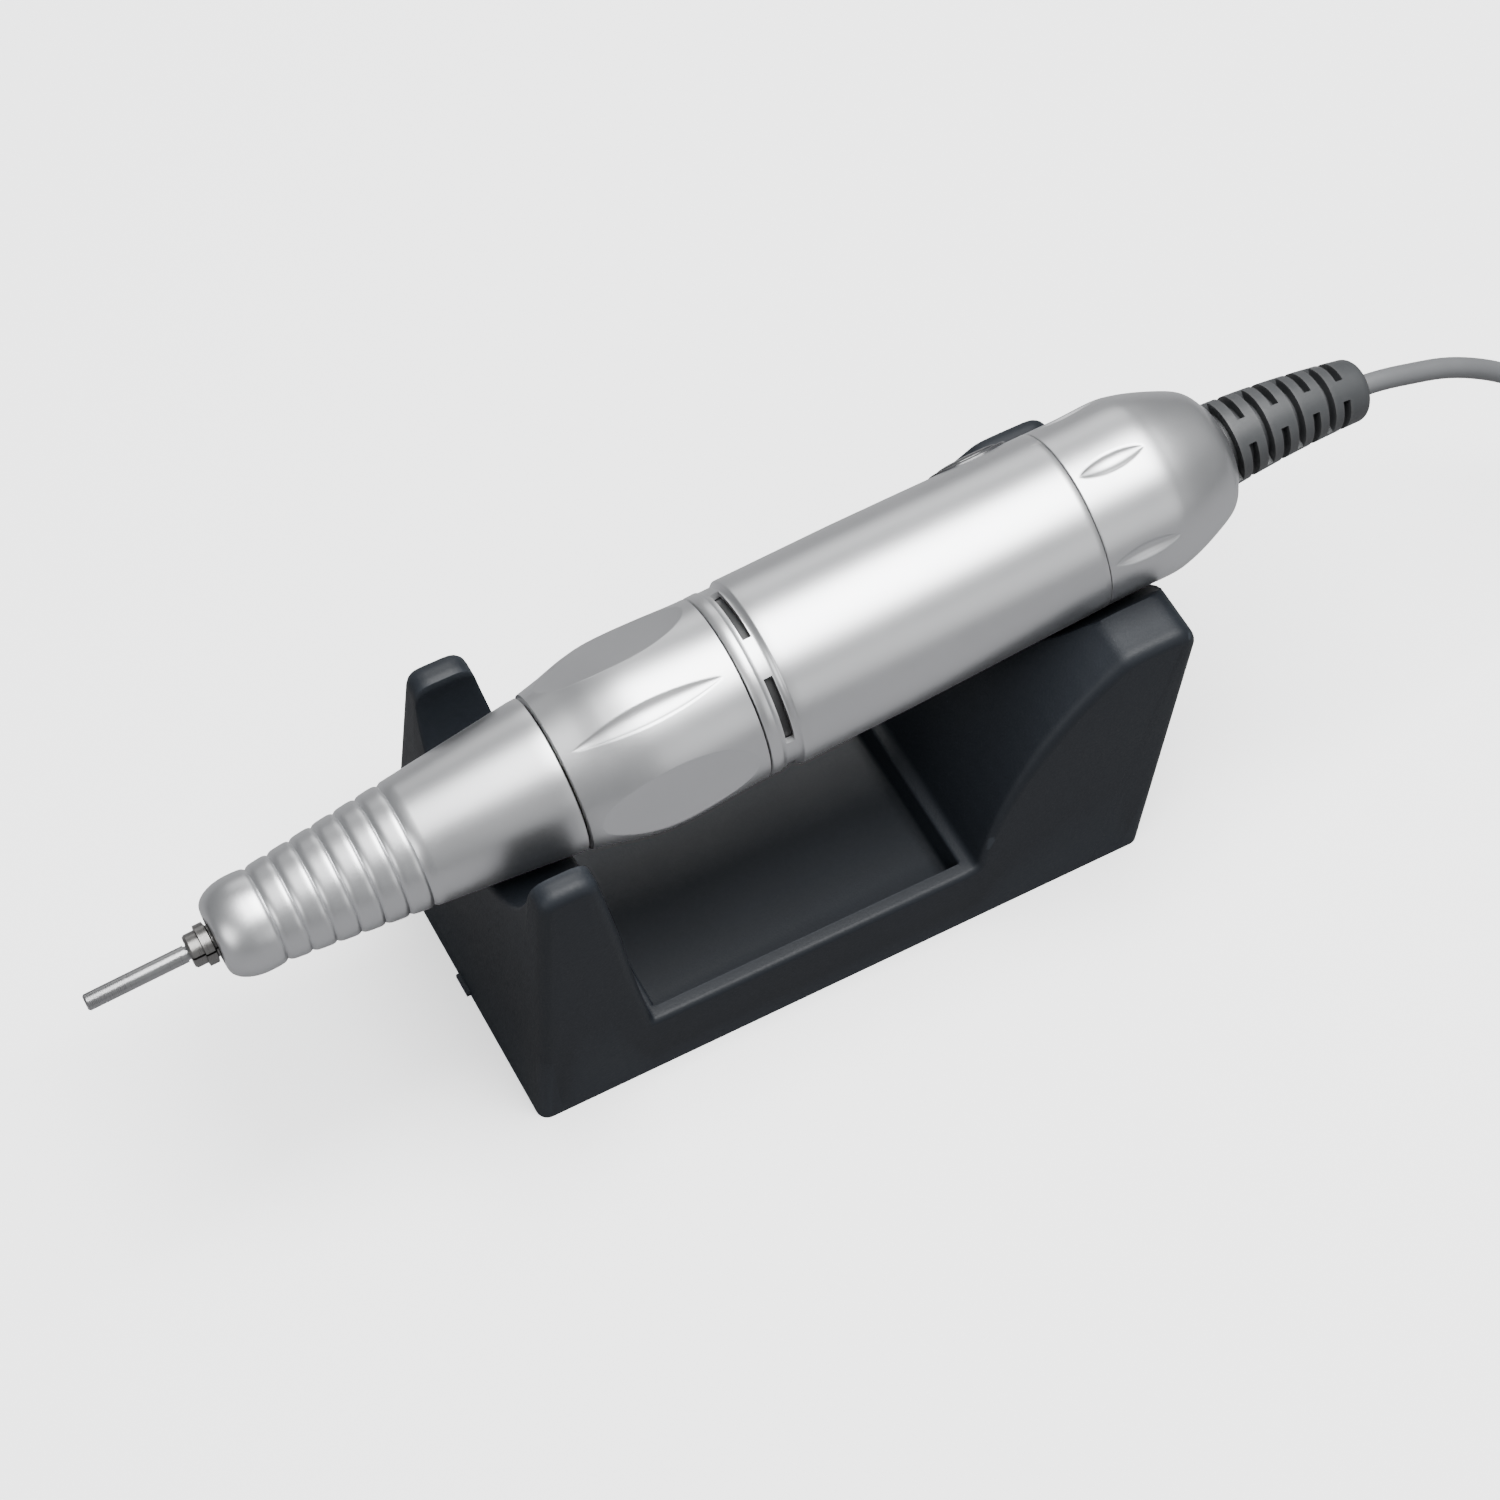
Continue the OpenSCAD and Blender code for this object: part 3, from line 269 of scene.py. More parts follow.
slope = np.tan(AXIS_RISE)
rear_c = AXIS_HEIGHT + REAR_SADDLE_UP / np.cos(AXIS_RISE)
rear_low = rear_c - saddle(REAR_SADDLE_R) / np.cos(AXIS_RISE)         # height of the rear saddle at x = 0
SWEEP_STEPS = 400
sweep = np.linspace(RAMP_FROM, RAMP_TO, SWEEP_STEPS)
ramp_x, ramp_z = RAMP_X + RAMP_R * np.cos(sweep), RAMP_Z + RAMP_R * np.sin(sweep)
crossed = ramp_z[None, :] >= rear_low[:, None] + slope * ramp_x[None, :]
end_at = np.where(crossed.any(1), crossed.argmax(1), SWEEP_STEPS - 1)
ramp_part = np.linspace(0, 1, 13)[:, None] * end_at[None, :]
steps = np.arange(SWEEP_STEPS)
ramp = [at(np.interp(p, steps, ramp_x), np.interp(p, steps, ramp_z)) for p in ramp_part]
back_z = np.minimum(REAR_TOP - CREST_R, (rear_low + slope * HALF_LONG) / (1 - slope * REAR_LEAN))
back_x = HALF_LONG + REAR_LEAN * back_z
crest = []
for share in (0.06, 0.14, 0.25, 0.4, 0.6, 0.74, 0.82, 0.89, 0.945, 0.985):
    x = ramp[-1][:, 0] + (back_x - ramp[-1][:, 0]) * share
    beyond = np.clip(x - REAR_END + CREST_R, 0, CREST_R)
    level = RAMP_TOP_Z + (REAR_TOP - RAMP_TOP_Z) * (1 - np.exp(np.minimum(RAMP_TOP_X - x, 0) / 1.2))
    ridge = level - CREST_R + np.sqrt(CREST_R**2 - beyond**2)
    crest.append(at(x, np.minimum(ridge, rear_low + slope * x)))
corners = np.stack([
    at(-HALF_LONG, 0), at(-HALF_LONG + FRONT_LEAN * 14, 14),
    at(-HALF_LONG + FRONT_LEAN * front_h * 0.7, front_h * 0.7),
    at(-HALF_LONG + FRONT_LEAN * front_h, front_h), at(upright_x(front_h), front_h),
    at(upright_x(RIM + 0.6 * (front_h - RIM)), RIM + 0.6 * (front_h - RIM)),
    at(upright_x(RIM + 0.25 * (front_h - RIM)), RIM + 0.25 * (front_h - RIM)),
    at(FRONT_FOOT_X, RIM), at(TRAY_FRONT - 0.2, RIM), at(TRAY_FRONT, floor_z), at(-12, floor_z),
    at(4, floor_z),
    at(TRAY_REAR, floor_z), at(TRAY_REAR + 0.2, RIM), *ramp, *crest, at(back_x, back_z),
    at(HALF_LONG + REAR_LEAN * back_z * 0.6, back_z * 0.6), at(HALF_LONG + REAR_LEAN * 12, 12),
    at(HALF_LONG, 0)])
# how far from each corner its rounding starts
top_r = 1.0 + 1.5 * np.clip((front_h - 44) / 6, 0, 1)
back_r = 1.0 + 0.6 * np.clip((back_z - 40) / 6, 0, 1)
reach = np.tile(np.full(count, 0.8), (len(corners), 1))
reach[[3, 4]] = top_r
reach[[5, 6]] = 3.0
reach[7], reach[13], reach[-4] = 1.2, 0.5, back_r
half = rounded(corners, reach)
x, z = half[..., 0], half[..., 1]
saddle_r = np.interp(x, [-30, 20], [FRONT_SADDLE_R, REAR_SADDLE_R])
inner_y = wall_y(z) - WALL
edge_r = np.interp(x[:, -1], [-31.5, -29.5, 20, 30], [EDGE_R, RIM_EDGE_R, RIM_EDGE_R, EDGE_R])[:, None]
beside_y = saddle_r[:, :len(BESIDE)] + BESIDE
y = np.hstack([saddle_r[:, :len(sine)] * sine, beside_y,
               inner_y[:, -6:-5] - 0.55, inner_y[:, -5:-4] - 0.12, inner_y[:, -4:-3] + 0.08,
               inner_y[:, -3:-2] + 0.16,
               np.minimum(inner_y[:, -2:-1] + 0.5, wall_y(z[:, -2:-1]) - edge_r - 0.01),
               wall_y(z[:, -1:]) - edge_r])
y = np.maximum.accumulate(y, axis=1)
strip = np.stack([x, y, z], -1)
# the rounded edge: from the last column the surface turns through 90 degrees into the side wall
run = np.gradient(half[:, -1], axis=0)
run /= np.linalg.norm(run, axis=1, keepdims=True)
out_x, out_z = -run[:, 1:], run[:, :1]
quarter = np.radians(np.linspace(0, 90, 8)[1:])[None, :]
edge_x = x[:, -1:] - edge_r * (1 - np.cos(quarter)) * out_x
edge_z = z[:, -1:] - edge_r * (1 - np.cos(quarter)) * out_z
edge_z[[0, -1]] = 0
edge_y = wall_y(edge_z) - edge_r * (1 - np.sin(quarter))
# the side wall: straight lines from the edge down to the foot
travel = np.concatenate([[0], np.cumsum(np.abs(np.diff(x[:, -1])) + 0.15 * np.abs(np.diff(z[:, -1])))])
first, last = np.argmax(x[:, -1] >= FRONT_FOOT_X), np.argmax(x[:, -1] >= RAMP_FOOT_X)
foot_x = np.interp(travel, [0, travel[first], travel[last], travel[-1]],
                   [edge_x[0, -1], -30.6, 20.9, edge_x[-1, -1]])[:, None]
down = np.array([[0.3, 0.65, 1.0]])
side_x = edge_x[:, -1:] + (foot_x - edge_x[:, -1:]) * down
side_z = edge_z[:, -1:] * (1 - down)
side = np.stack([side_x, wall_y(side_z), side_z], -1)
near = np.concatenate([strip, np.stack([edge_x, edge_y, edge_z], -1), side], 1)
grid = np.concatenate([near[:, :0:-1] * [1, -1, 1], near], 1)
rows, columns = grid.shape[:2]
number = np.arange(rows * columns).reshape(rows, columns)
i, j = np.arange(rows - 1)[:, None], np.arange(columns - 1)[None, :]
top_faces = np.stack([number[i, j], number[i, j + 1], number[i + 1, j + 1], number[i + 1, j]], -1)
top_faces = top_faces.reshape(-1, 4)
# the underside: the foot's outline, the edge of the recess for the base plate, and the recess
rim_loop = np.concatenate([number[0], number[1:, -1], number[-1, -2::-1], number[-2:0:-1, 0]])
foot = grid.reshape(-1, 3)[rim_loop]
far = np.maximum(np.abs(foot[:, 0]) / HALF_LONG, np.abs(foot[:, 1]) / HALF_WIDE)[:, None]
recess = foot / far * [(HALF_LONG - PLATE_INSET) / HALF_LONG, (HALF_WIDE - PLATE_INSET_SIDE) / HALF_WIDE, 1]
n, size_of_loop = rows * columns, len(rim_loop)
k = np.arange(size_of_loop)
after = (k + 1) % size_of_loop
ring_1, ring_2 = n + k, n + size_of_loop + k
underside = np.concatenate([
    np.stack([rim_loop[after], rim_loop[k], ring_1[k], ring_1[after]], -1),
    np.stack([ring_1[after], ring_1[k], ring_2[k], ring_2[after]], -1)])
middle = n + 2 * size_of_loop
lid = np.stack([ring_2[after], ring_2[k], np.full(size_of_loop, middle)], -1)
ceiling = np.array([[0, 0, PLATE_RECESS]])
points = np.concatenate([grid.reshape(-1, 3), recess, recess + ceiling, ceiling]) * MM
quads = outward(points, np.concatenate([top_faces, underside]))
flipped = quads[0, 0] != top_faces[0, 0]
shell_mesh = bpy.data.meshes.new("cradle_moulding")
shell_mesh.from_pydata(points, [], quads.tolist() + (lid[:, ::-1] if flipped else lid).tolist())
cradle = bpy.data.objects.new("cradle_moulding", shell_mesh)
scene.collection.objects.link(cradle)
joined = bmesh.new()
joined.from_mesh(shell_mesh)
bmesh.ops.remove_doubles(joined, verts=joined.verts, dist=2e-6)
bmesh.ops.dissolve_degenerate(joined, edges=joined.edges, dist=1e-6)
joined.to_mesh(shell_mesh)
joined.free()
shell_mesh.polygons.foreach_set("use_smooth", np.ones(len(shell_mesh.polygons), bool))
shell_mesh.set_sharp_from_angle(angle=np.radians(40))
abs_skin = finish("moulded_abs", (0.0065, 0.0085, 0.0118), drift=0.10, rough=0.54, spread=0.05,
                  grain=2600.0, depth=0.04, slow=40.0, lighter_edges=(0.024, 0.029, 0.036), specular=0.27)
cradle.data.materials.append(abs_skin)
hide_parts("cradle_shell")
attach(cradle, "cradle")
dress("base_plate", abs_skin)
black_rubber = finish("black_rubber", (0.012, 0.012, 0.012), rough=0.7, grain=1500.0, depth=0.03)
dress("rubber_feet", black_rubber)
# turned parts: the grain is drawn out in Y and Z, so that it runs round them, and the pattern is
# turned by the handpiece's rise
ROUND_THE_AXIS = dict(lay=(1.0, 0.05, 0.05), turn=(0, -AXIS_RISE, 0))
dark_steel = finish("dark_steel", (0.20, 0.195, 0.19), rough=0.3, spread=0.1, metal=1.0, grain=4000.0,
                    depth=0.006, **ROUND_THE_AXIS)
dress("plate_screws", dark_steel)

# ---------------------------------------------------------------------------------------------
# The spindle and its bearings
# A ground steel tube that turns in three miniature ball bearings, pressed into a long steel
# housing in the nose. A felt seal closes the housing in front and a rubber ring behind.
# ---------------------------------------------------------------------------------------------
bright_steel = finish("ground_steel", (0.62, 0.62, 0.62), drift=0.05, rough=0.2, spread=0.08, metal=1.0,
                      grain=4000.0, depth=0.004, **ROUND_THE_AXIS)
for node in ("spindle_housing", "spindle", "spindle_outer_races", "spindle_inner_races", "spindle_balls"):
    dress(node, bright_steel)
dress("dust_seal", black_rubber)
dress("nose_seal", black_rubber)

# ---------------------------------------------------------------------------------------------
# The chuck
# A slit collet of hardened steel, screwed to a draw rod that cupped washers pull back into the
# spindle's taper. It holds a plain steel pin, which keeps dust out when no tool is fitted.
# ---------------------------------------------------------------------------------------------
for node in ("collet", "release_collar", "spring_washers"):
    dress(node, dark_steel)
dress("draw_rod", bright_steel)
dress("cross_pin", bright_steel)
dress("blank_pin", finish("pin_steel", (0.33, 0.33, 0.335), drift=0.05, rough=0.28, spread=0.06, metal=1.0,
                          grain=4000.0, depth=0.004, **ROUND_THE_AXIS))

# ---------------------------------------------------------------------------------------------
# The lock and the coupling
# A brass ring in the turning sleeve carries two slanted slots; they push two pins and the pusher
# forwards along a steel barrel, and a sprung ball ends the turn. Two dogs couple the motor.
# ---------------------------------------------------------------------------------------------
brass = finish("turned_brass", (0.80, 0.60, 0.30), drift=0.08, rough=0.26, spread=0.08, metal=1.0,
               grain=5000.0, depth=0.004, lay=(0.1, 1.0, 0.1))
for node in ("barrel", "pusher", "driven_coupling", "driver_coupling"):
    dress(node, dark_steel)
for node in ("cam_pins", "stop_ball", "stop_spring"):
    dress(node, bright_steel)
dress("cam_ring", brass)

# ---------------------------------------------------------------------------------------------
# The motor
# A five-pole direct-current motor in a drawn steel can: sintered magnets, a stack of stampings
# wound with enamelled copper, a copper commutator and two sprung carbon brushes in the end bell.
# ---------------------------------------------------------------------------------------------
sintered = finish("sintered_magnet", (0.05, 0.05, 0.055), rough=0.6, grain=3000.0, depth=0.02)
copper = finish("enamelled_copper", (0.62, 0.26, 0.12), drift=0.2, rough=0.3, metal=1.0, grain=2500.0,
                depth=0.05, lay=(0.05, 1.0, 1.0))
inner_abs = finish("inner_abs", (0.012, 0.012, 0.013), rough=0.55, grain=1500.0, depth=0.02)
for node in ("motor_can", "motor_shaft", "motor_outer_races", "motor_inner_races", "motor_balls",
             "brush_springs"):
    dress(node, bright_steel)
dress("magnets", sintered)
dress("brushes", sintered)
dress("armature_core", dark_steel)
dress("windings", copper)
dress("commutator", copper)
dress("end_bell", inner_abs)
dress("terminals", brass)

# ---------------------------------------------------------------------------------------------
# The chassis and the switch
# A black moulded tube holds the motor. Beside it a small switch stands on a lacquered circuit
# board, under the spiral spring that lifts the button again.
# ---------------------------------------------------------------------------------------------
dress("chassis", inner_abs)
dress("button_spring", bright_steel)
dress("switch_body", inner_abs)
dress("switch_board", finish("solder_mask", (0.01, 0.12, 0.04), rough=0.35, grain=900.0, depth=0.01))

# ---------------------------------------------------------------------------------------------
# The cable clamp and the leads
# A moulded bulkhead closes the chassis; a screwed strap on its two posts grips the cord, and two
# sleeved leads run from there to the motor's terminals.
# ---------------------------------------------------------------------------------------------
dress("bulkhead", inner_abs)
dress("cable_clamp", inner_abs)
dress("clamp_screws", bright_steel)
dress("lead_wires", finish("wire_sleeve", (0.35, 0.015, 0.015), rough=0.4, grain=900.0, depth=0.01))

# ---------------------------------------------------------------------------------------------
# The nose cone
# A turned aluminium shell, bead-blasted and plated satin silver. Six rounded rings behind a dome
# give the fingers a hold; the cone slides over the lock's barrel and is glued to it.
# ---------------------------------------------------------------------------------------------
def spline(points, steps):
    """Catmull-Rom curve through the points: half of 2b + (c-a)u + (2a-5b+4c-d)u^2 + (3b-a-3c+d)u^3."""
    p = np.asarray(points, float)
    p = np.vstack([p[:1], p, p[-1:]])
    u = (np.arange(steps) / steps)[None, :, None]
    a, b, c, d = (p[k:len(p) - 3 + k, None, :] for k in range(4))
    line = 0.5 * (2 * b + (c - a) * u + (2 * a - 5 * b + 4 * c - d) * u**2 + (3 * b - a - 3 * c + d) * u**3)
    return np.vstack([line.reshape(-1, p.shape[1]), p[-1:]])


def skin_faces(rows, columns, wrap_rows=False):
    """Four-cornered faces of a grid whose columns close on themselves, and whose rows may close too."""
    i = np.arange(rows if wrap_rows else rows - 1)[:, None]
    j = np.arange(columns)[None, :]
    below, after = (i + 1) % rows, (j + 1) % columns
    return np.stack([i * columns + j, i * columns + after, below * columns + after,
                     below * columns + j], -1).reshape(-1, 4)


def skin(name, grid, wrap_rows=False):
    """A closed skin over a grid of points in millimetres: rows follow each other along the piece and
    columns go round it. Where the rows don't close, a small fan to the row's middle closes each end."""
    rows, columns = grid.shape[:2]
    points = grid.reshape(-1, 3) * MM
    faces = skin_faces(rows, columns, wrap_rows)
    if not wrap_rows:
        ends = grid[[0, -1]].mean(1) * MM
        j = np.arange(columns)
        after = (j + 1) % columns
        first, last = rows * columns, rows * columns + 1
        cap_a = np.stack([after, j, np.full(columns, first), np.full(columns, first)], -1)
        cap_b = np.stack([j, after, np.full(columns, -1), np.full(columns, -1)], -1)
        cap_b[:, :2] += (rows - 1) * columns
        cap_b[:, 2:] = last
        points = np.vstack([points, ends])
        faces = outward(points, np.vstack([faces, cap_a, cap_b]))
        quads = faces[:-2 * columns].tolist()
        fans = [list(dict.fromkeys(f)) for f in faces[-2 * columns:].tolist()]
        made = bpy.data.meshes.new(name)
        made.from_pydata(points, [], quads + fans)
    else:
        made = bpy.data.meshes.new(name)
        made.from_pydata(points, [], outward(points, faces).tolist())
    made.polygons.foreach_set("use_smooth", np.ones(len(made.polygons), bool))
    piece = bpy.data.objects.new(name, made)
    scene.collection.objects.link(piece)
    return piece


def on_axis(station, radius, theta):
    """Point at a station along the handpiece, at a radius and an angle from the top towards the near
    side: station . along + radius (cos theta . upward - sin theta . Y), above the table's origin."""
    station, radius, theta = np.broadcast_arrays(station, radius, theta)
    out = station[..., None] * ALONG + (radius * np.cos(theta))[..., None] * UPWARD
    out[..., 1] -= radius * np.sin(theta)
    out[..., 2] += AXIS_HEIGHT
    return out


def turned(name, profile, columns=144):
    """A closed ring-shaped skin: a closed outline of (radius, station) carried once round the axis."""
    theta = np.arange(columns) * 2 * np.pi / columns
    return skin(name, on_axis(profile[:, 1:2], profile[:, :1], theta[None, :]), wrap_rows=True)


def denser(outline, step):
    """The same open outline with points at most a step apart, its corners kept."""
    cuts = [np.linspace(a, b, max(2, int(np.ceil(np.hypot(*(b - a)) / step)) + 1))[:-1]
            for a, b in zip(outline[:-1], outline[1:])]
    return np.vstack([*cuts, outline[-1:]])


SEAM = 0.35
NOSE_FRONT, SLEEVE_FRONT = -81.6, -32.1
GRIP_FRONT, GRIP_PITCH, GRIP_RINGS = -74.05, 3.35, 6
GRIP_FRONT_R, NOSE_REAR_R = 6.72, 11.2
cone_slope = (NOSE_REAR_R - GRIP_FRONT_R) / (SLEEVE_FRONT - GRIP_FRONT)
grip_s = np.linspace(GRIP_FRONT, GRIP_FRONT + GRIP_RINGS * GRIP_PITCH, 16 * GRIP_RINGS + 1)
phase = np.abs(2 * ((grip_s - GRIP_FRONT) / GRIP_PITCH % 1.0) - 1)
phase[-1] = 1.0
grip_r = GRIP_FRONT_R + cone_slope * (grip_s - GRIP_FRONT) + 0.05 - 0.35 * phase**5
quarter = np.linspace(0, np.pi / 2, 16)
dome = np.column_stack([4.2 + 2.68 * np.sin(quarter), NOSE_FRONT + 4.9 * (1 - np.cos(quarter))])
shoulder = spline([[6.88, -76.7], [6.86, -75.6], [6.74, -74.6], [GRIP_FRONT_R - 0.3, GRIP_FRONT]], 5)[1:-1]
rear_cone = denser(np.array([[GRIP_FRONT_R + cone_slope * 20.7, -53.35], [9.05, -43.0],
                             [NOSE_REAR_R - 0.12, SLEEVE_FRONT - SEAM - 0.12],
                             [NOSE_REAR_R - 0.3, SLEEVE_FRONT - SEAM]]), 1.2)
on_cone = GRIP_FRONT_R + cone_slope * (rear_cone[:, 1] - GRIP_FRONT)
rear_cone[:, 0] = np.where(rear_cone[:, 1] < -32.6, on_cone, rear_cone[:, 0])
nose_bore = [[9.02, -32.45], [9.02, -38.0], [5.62, -52.0], [5.62, -80.3], [3.3, -80.3], [3.3, NOSE_FRONT]]
nose_outline = np.vstack([dome, shoulder, np.column_stack([grip_r, grip_s]), rear_cone, nose_bore])
nose_cone = turned("nose_shell", nose_outline)
nose_cone.data.set_sharp_from_angle(angle=np.radians(50))
satin = finish("satin_silver", (0.57, 0.575, 0.585), drift=0.02, rough=0.37, spread=0.03, metal=1.0,
               grain=3500.0, depth=0.006, slow=50.0, lighter_edges=(0.8, 0.8, 0.8))
nose_cone.data.materials.append(satin)
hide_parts("nose_cone")
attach(nose_cone, "handpiece")

# ---------------------------------------------------------------------------------------------
# The lock sleeve
# The turning grip of the chuck's lock, turned from aluminium. Three narrow leaf-shaped hollows and
# three wide oval flats, milled in turn round its waist, let it be twisted by hand.
# ---------------------------------------------------------------------------------------------
def across_sector(half_angle, pitch, inside, outside):
    """Angles across one sector round a hollow: inside steps cover -half..half, outside steps the rest.
    half_angle is one value for each row, so that the hollow's edge always lies on a grid line."""
    u_in = np.linspace(-1, 1, inside + 1)[None, :]
    u_out = np.linspace(0, 1, outside + 1)[None, 1:-1]
    w = half_angle[:, None]
    left = -pitch / 2 + (pitch / 2 - w) * np.linspace(0, 1, outside + 1)[None, :-1]
    right = w + (pitch / 2 - w) * u_out
    return np.hstack([left, w * u_in, right])


SLEEVE_OUT = np.array([[11.3, -32.1], [12.05, -28.6], [12.95, -25], [13.5, -21.5], [13.6, -18],
                       [13.4, -13], [13.15, -8.6], [13.1, -6.55]])
sleeve_out = spline(SLEEVE_OUT, 16)
sleeve_out[0] = [11.2, -32.0]
sleeve_out = np.vstack([[[11.05, -32.1]], sleeve_out, [[13.0, -6.5]]])
sleeve_out = sleeve_out[np.argsort(sleeve_out[:, 1], kind="stable")]
SECTOR = np.radians(60)
LEAF_MID, LEAF_HALF, LEAF_WIDE, LEAF_DEEP = -19.4, 10.8, np.radians(6.6), 0.5
FLAT_MID, FLAT_HALF, FLAT_WIDE = -19.2, 11.2, np.radians(25.5)
NARROW_AT = np.radians(23)
NARROWEST = np.radians(0.5)
sleeve_r, sleeve_s = sleeve_out[:, 0], sleeve_out[:, 1]
leaf_t = np.clip(np.abs(sleeve_s - LEAF_MID) / LEAF_HALF, 0, 1)
leaf_w = np.maximum(LEAF_WIDE * (1 - leaf_t**2) ** 0.85, NARROWEST)
leaf_d = LEAF_DEEP * (1 - leaf_t**2)
flat_t = np.clip(np.abs(sleeve_s - FLAT_MID) / FLAT_HALF, 0, 1)
flat_w = np.maximum(FLAT_WIDE * np.sqrt(1 - flat_t**2), NARROWEST)
leaf_cols = across_sector(leaf_w, SECTOR, 12, 20)
flat_cols = across_sector(flat_w, SECTOR, 26, 10)
leaf_u = np.clip(np.abs(leaf_cols) / leaf_w[:, None], 0, 1)
leaf_r = sleeve_r[:, None] - leaf_d[:, None] * (1 - leaf_u**2) ** 0.8
flat_face = sleeve_r * np.cos(flat_w)
flat_r = np.minimum(sleeve_r[:, None], flat_face[:, None] / np.cos(flat_cols))
flat_r = np.where((flat_t < 1)[:, None], flat_r, sleeve_r[:, None])
theta = np.hstack([np.hstack([leaf_cols + NARROW_AT + 2 * k * SECTOR,
                              flat_cols + NARROW_AT + (2 * k + 1) * SECTOR]) for k in range(3)])
round_r = np.tile(np.hstack([leaf_r, flat_r]), 3)
outside = on_axis(sleeve_s[:, None], round_r, theta)
sleeve_bore = np.array([[9.1, -6.55], [9.1, -9.0], [10.7, -9.0], [10.7, -30.4], [9.9, -30.4], [9.9, -32.1]])
even = np.linspace(theta[0, 0], theta[0, 0] + 2 * np.pi, theta.shape[1], endpoint=False)
inside = on_axis(sleeve_bore[:, 1:2], sleeve_bore[:, :1], even[None, :])
lock_sleeve = skin("lock_sleeve_shell", np.concatenate([outside, inside]), wrap_rows=True)
lock_sleeve.data.set_sharp_from_angle(angle=np.radians(50))
lock_sleeve.data.materials.append(satin)
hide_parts("lock_sleeve")
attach(lock_sleeve, "lock")

# ---------------------------------------------------------------------------------------------
# The body tube
# A drawn and turned aluminium tube over the motor, with a raised collar at the lock. Five curved
# slots beside the collar are milled through its wall to let the motor's heat out.
# ---------------------------------------------------------------------------------------------
TUBE_REAR, TUBE_BORE, SKIN_R = 45.6, 12.05, 13.0
VENTS, VENT_AT, VENT_ARC = 5, np.radians(-14), np.radians(46)
VENT_S, VENT_WIDE = -3.2, 1.3
KEY_S, KEY_AT = 37.6, np.radians(-70)
OVAL_LONG, OVAL_WIDE, OVAL_POWER = 5.95, 4.5, 0.84      # half axes of the button's frame, along and round
WINDOW_SHARE, WINDOW_END = 0.925, 6.2                   # the tube's window is this much of the frame
tube_out = np.array([[13.0, -6.2], [13.1, -6.1], [13.14, -4.7], [13.1, -4.5], [12.97, -4.36],
                     [12.95, -3.85], [12.95, -2.55], [12.97, -2.12], [13.35, -1.72], [13.46, -1.6],
                     [13.5, -1.4], [13.45, 16.0], [13.25, 27.0], [13.145, KEY_S - WINDOW_END],
                     [12.985, KEY_S + WINDOW_END], [12.96, 45.54], [12.91, TUBE_REAR]])
tube_out = np.vstack([denser(tube_out[:-3], 1.5)[:-1], denser(tube_out[-4:-2], 0.4)[:-1],
                      denser(tube_out[-3:], 1.5)])
pitch = 2 * np.pi / VENTS
slot_steps, rib_steps = 30, 18
vent_cols = np.hstack([np.linspace(-VENT_ARC / 2, VENT_ARC / 2, slot_steps + 1)[:-1],
                       np.linspace(VENT_ARC / 2, pitch - VENT_ARC / 2, rib_steps + 1)[:-1]])
theta = np.sort(np.hstack([vent_cols + VENT_AT + k * pitch for k in range(VENTS)]))
column_width = (np.roll(theta, -1) - theta) % (2 * np.pi)
key_span = (theta + 0.5 * column_width - KEY_AT + np.pi) % (2 * np.pi) - np.pi
in_slot = ((theta - VENT_AT + VENT_ARC / 2 + 1e-6) % pitch) < VENT_ARC - 1e-3
rows_s = tube_out[:, 1]
middle_s = 0.5 * (rows_s + np.roll(rows_s, -1))
holes = (np.abs(middle_s - VENT_S) < VENT_WIDE / 2)[:, None] & in_slot[None, :]
# the window is the oval |x / a|^n + |y / b|^n < 1, cut in small steps that the frame covers
bulge = 2 / OVAL_POWER
oval_x = np.abs((middle_s - KEY_S) / (WINDOW_SHARE * OVAL_LONG))[:, None] ** bulge
oval_y = np.abs(key_span * SKIN_R / (WINDOW_SHARE * OVAL_WIDE))[None, :] ** bulge
holes |= oval_x + oval_y < 1
holes[-1] = False


def pierced(name, outer, inner, holes):
    """A wall between two grids with cells left out: the rest of each grid's cells, and a face from
    the outer to the inner grid along every edge that has a hole on one side, and along both ends."""
    rows, columns = outer.shape[:2]
    points = np.concatenate([outer.reshape(-1, 3), inner.reshape(-1, 3)]) * MM
    n = rows * columns
    cells = skin_faces(rows, columns)
    keep = ~holes[:-1].reshape(-1)
    faces = [cells[keep], cells[keep][:, ::-1] + n]
    here = np.arange(n).reshape(rows, columns)
    right = np.roll(here, -1, 1)
    above = np.vstack([np.ones((1, columns), bool), holes[:-1]])
    below = np.vstack([holes[:-1], np.ones((1, columns), bool)])
    for edge, a, b in ((above & ~below, right, here), (~above & below, here, right)):
        faces.append(np.stack([a[edge], b[edge], b[edge] + n, a[edge] + n], -1))
    left = np.roll(holes[:-1], 1, 1)
    top, bottom = here[:-1], here[1:]
    for edge, a, b in ((left & ~holes[:-1], top, bottom), (~left & holes[:-1], bottom, top)):
        faces.append(np.stack([a[edge], b[edge], b[edge] + n, a[edge] + n], -1))
    faces = np.concatenate(faces)
    used, renumbered = np.unique(faces, return_inverse=True)
    faces, points = renumbered.reshape(-1, 4), points[used]
    return plain_mesh(name, points, outward(points, faces))


tube_in = np.column_stack([np.full(len(tube_out), TUBE_BORE), rows_s])
body_tube = pierced("body_shell", on_axis(tube_out[:, 1:2], tube_out[:, :1], theta[None, :]),
                    on_axis(tube_in[:, 1:2], tube_in[:, :1], theta[None, :]), holes)
body_tube.data.set_sharp_from_angle(angle=np.radians(50))
body_tube.data.materials.append(satin)
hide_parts("body_tube")
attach(body_tube, "handpiece")

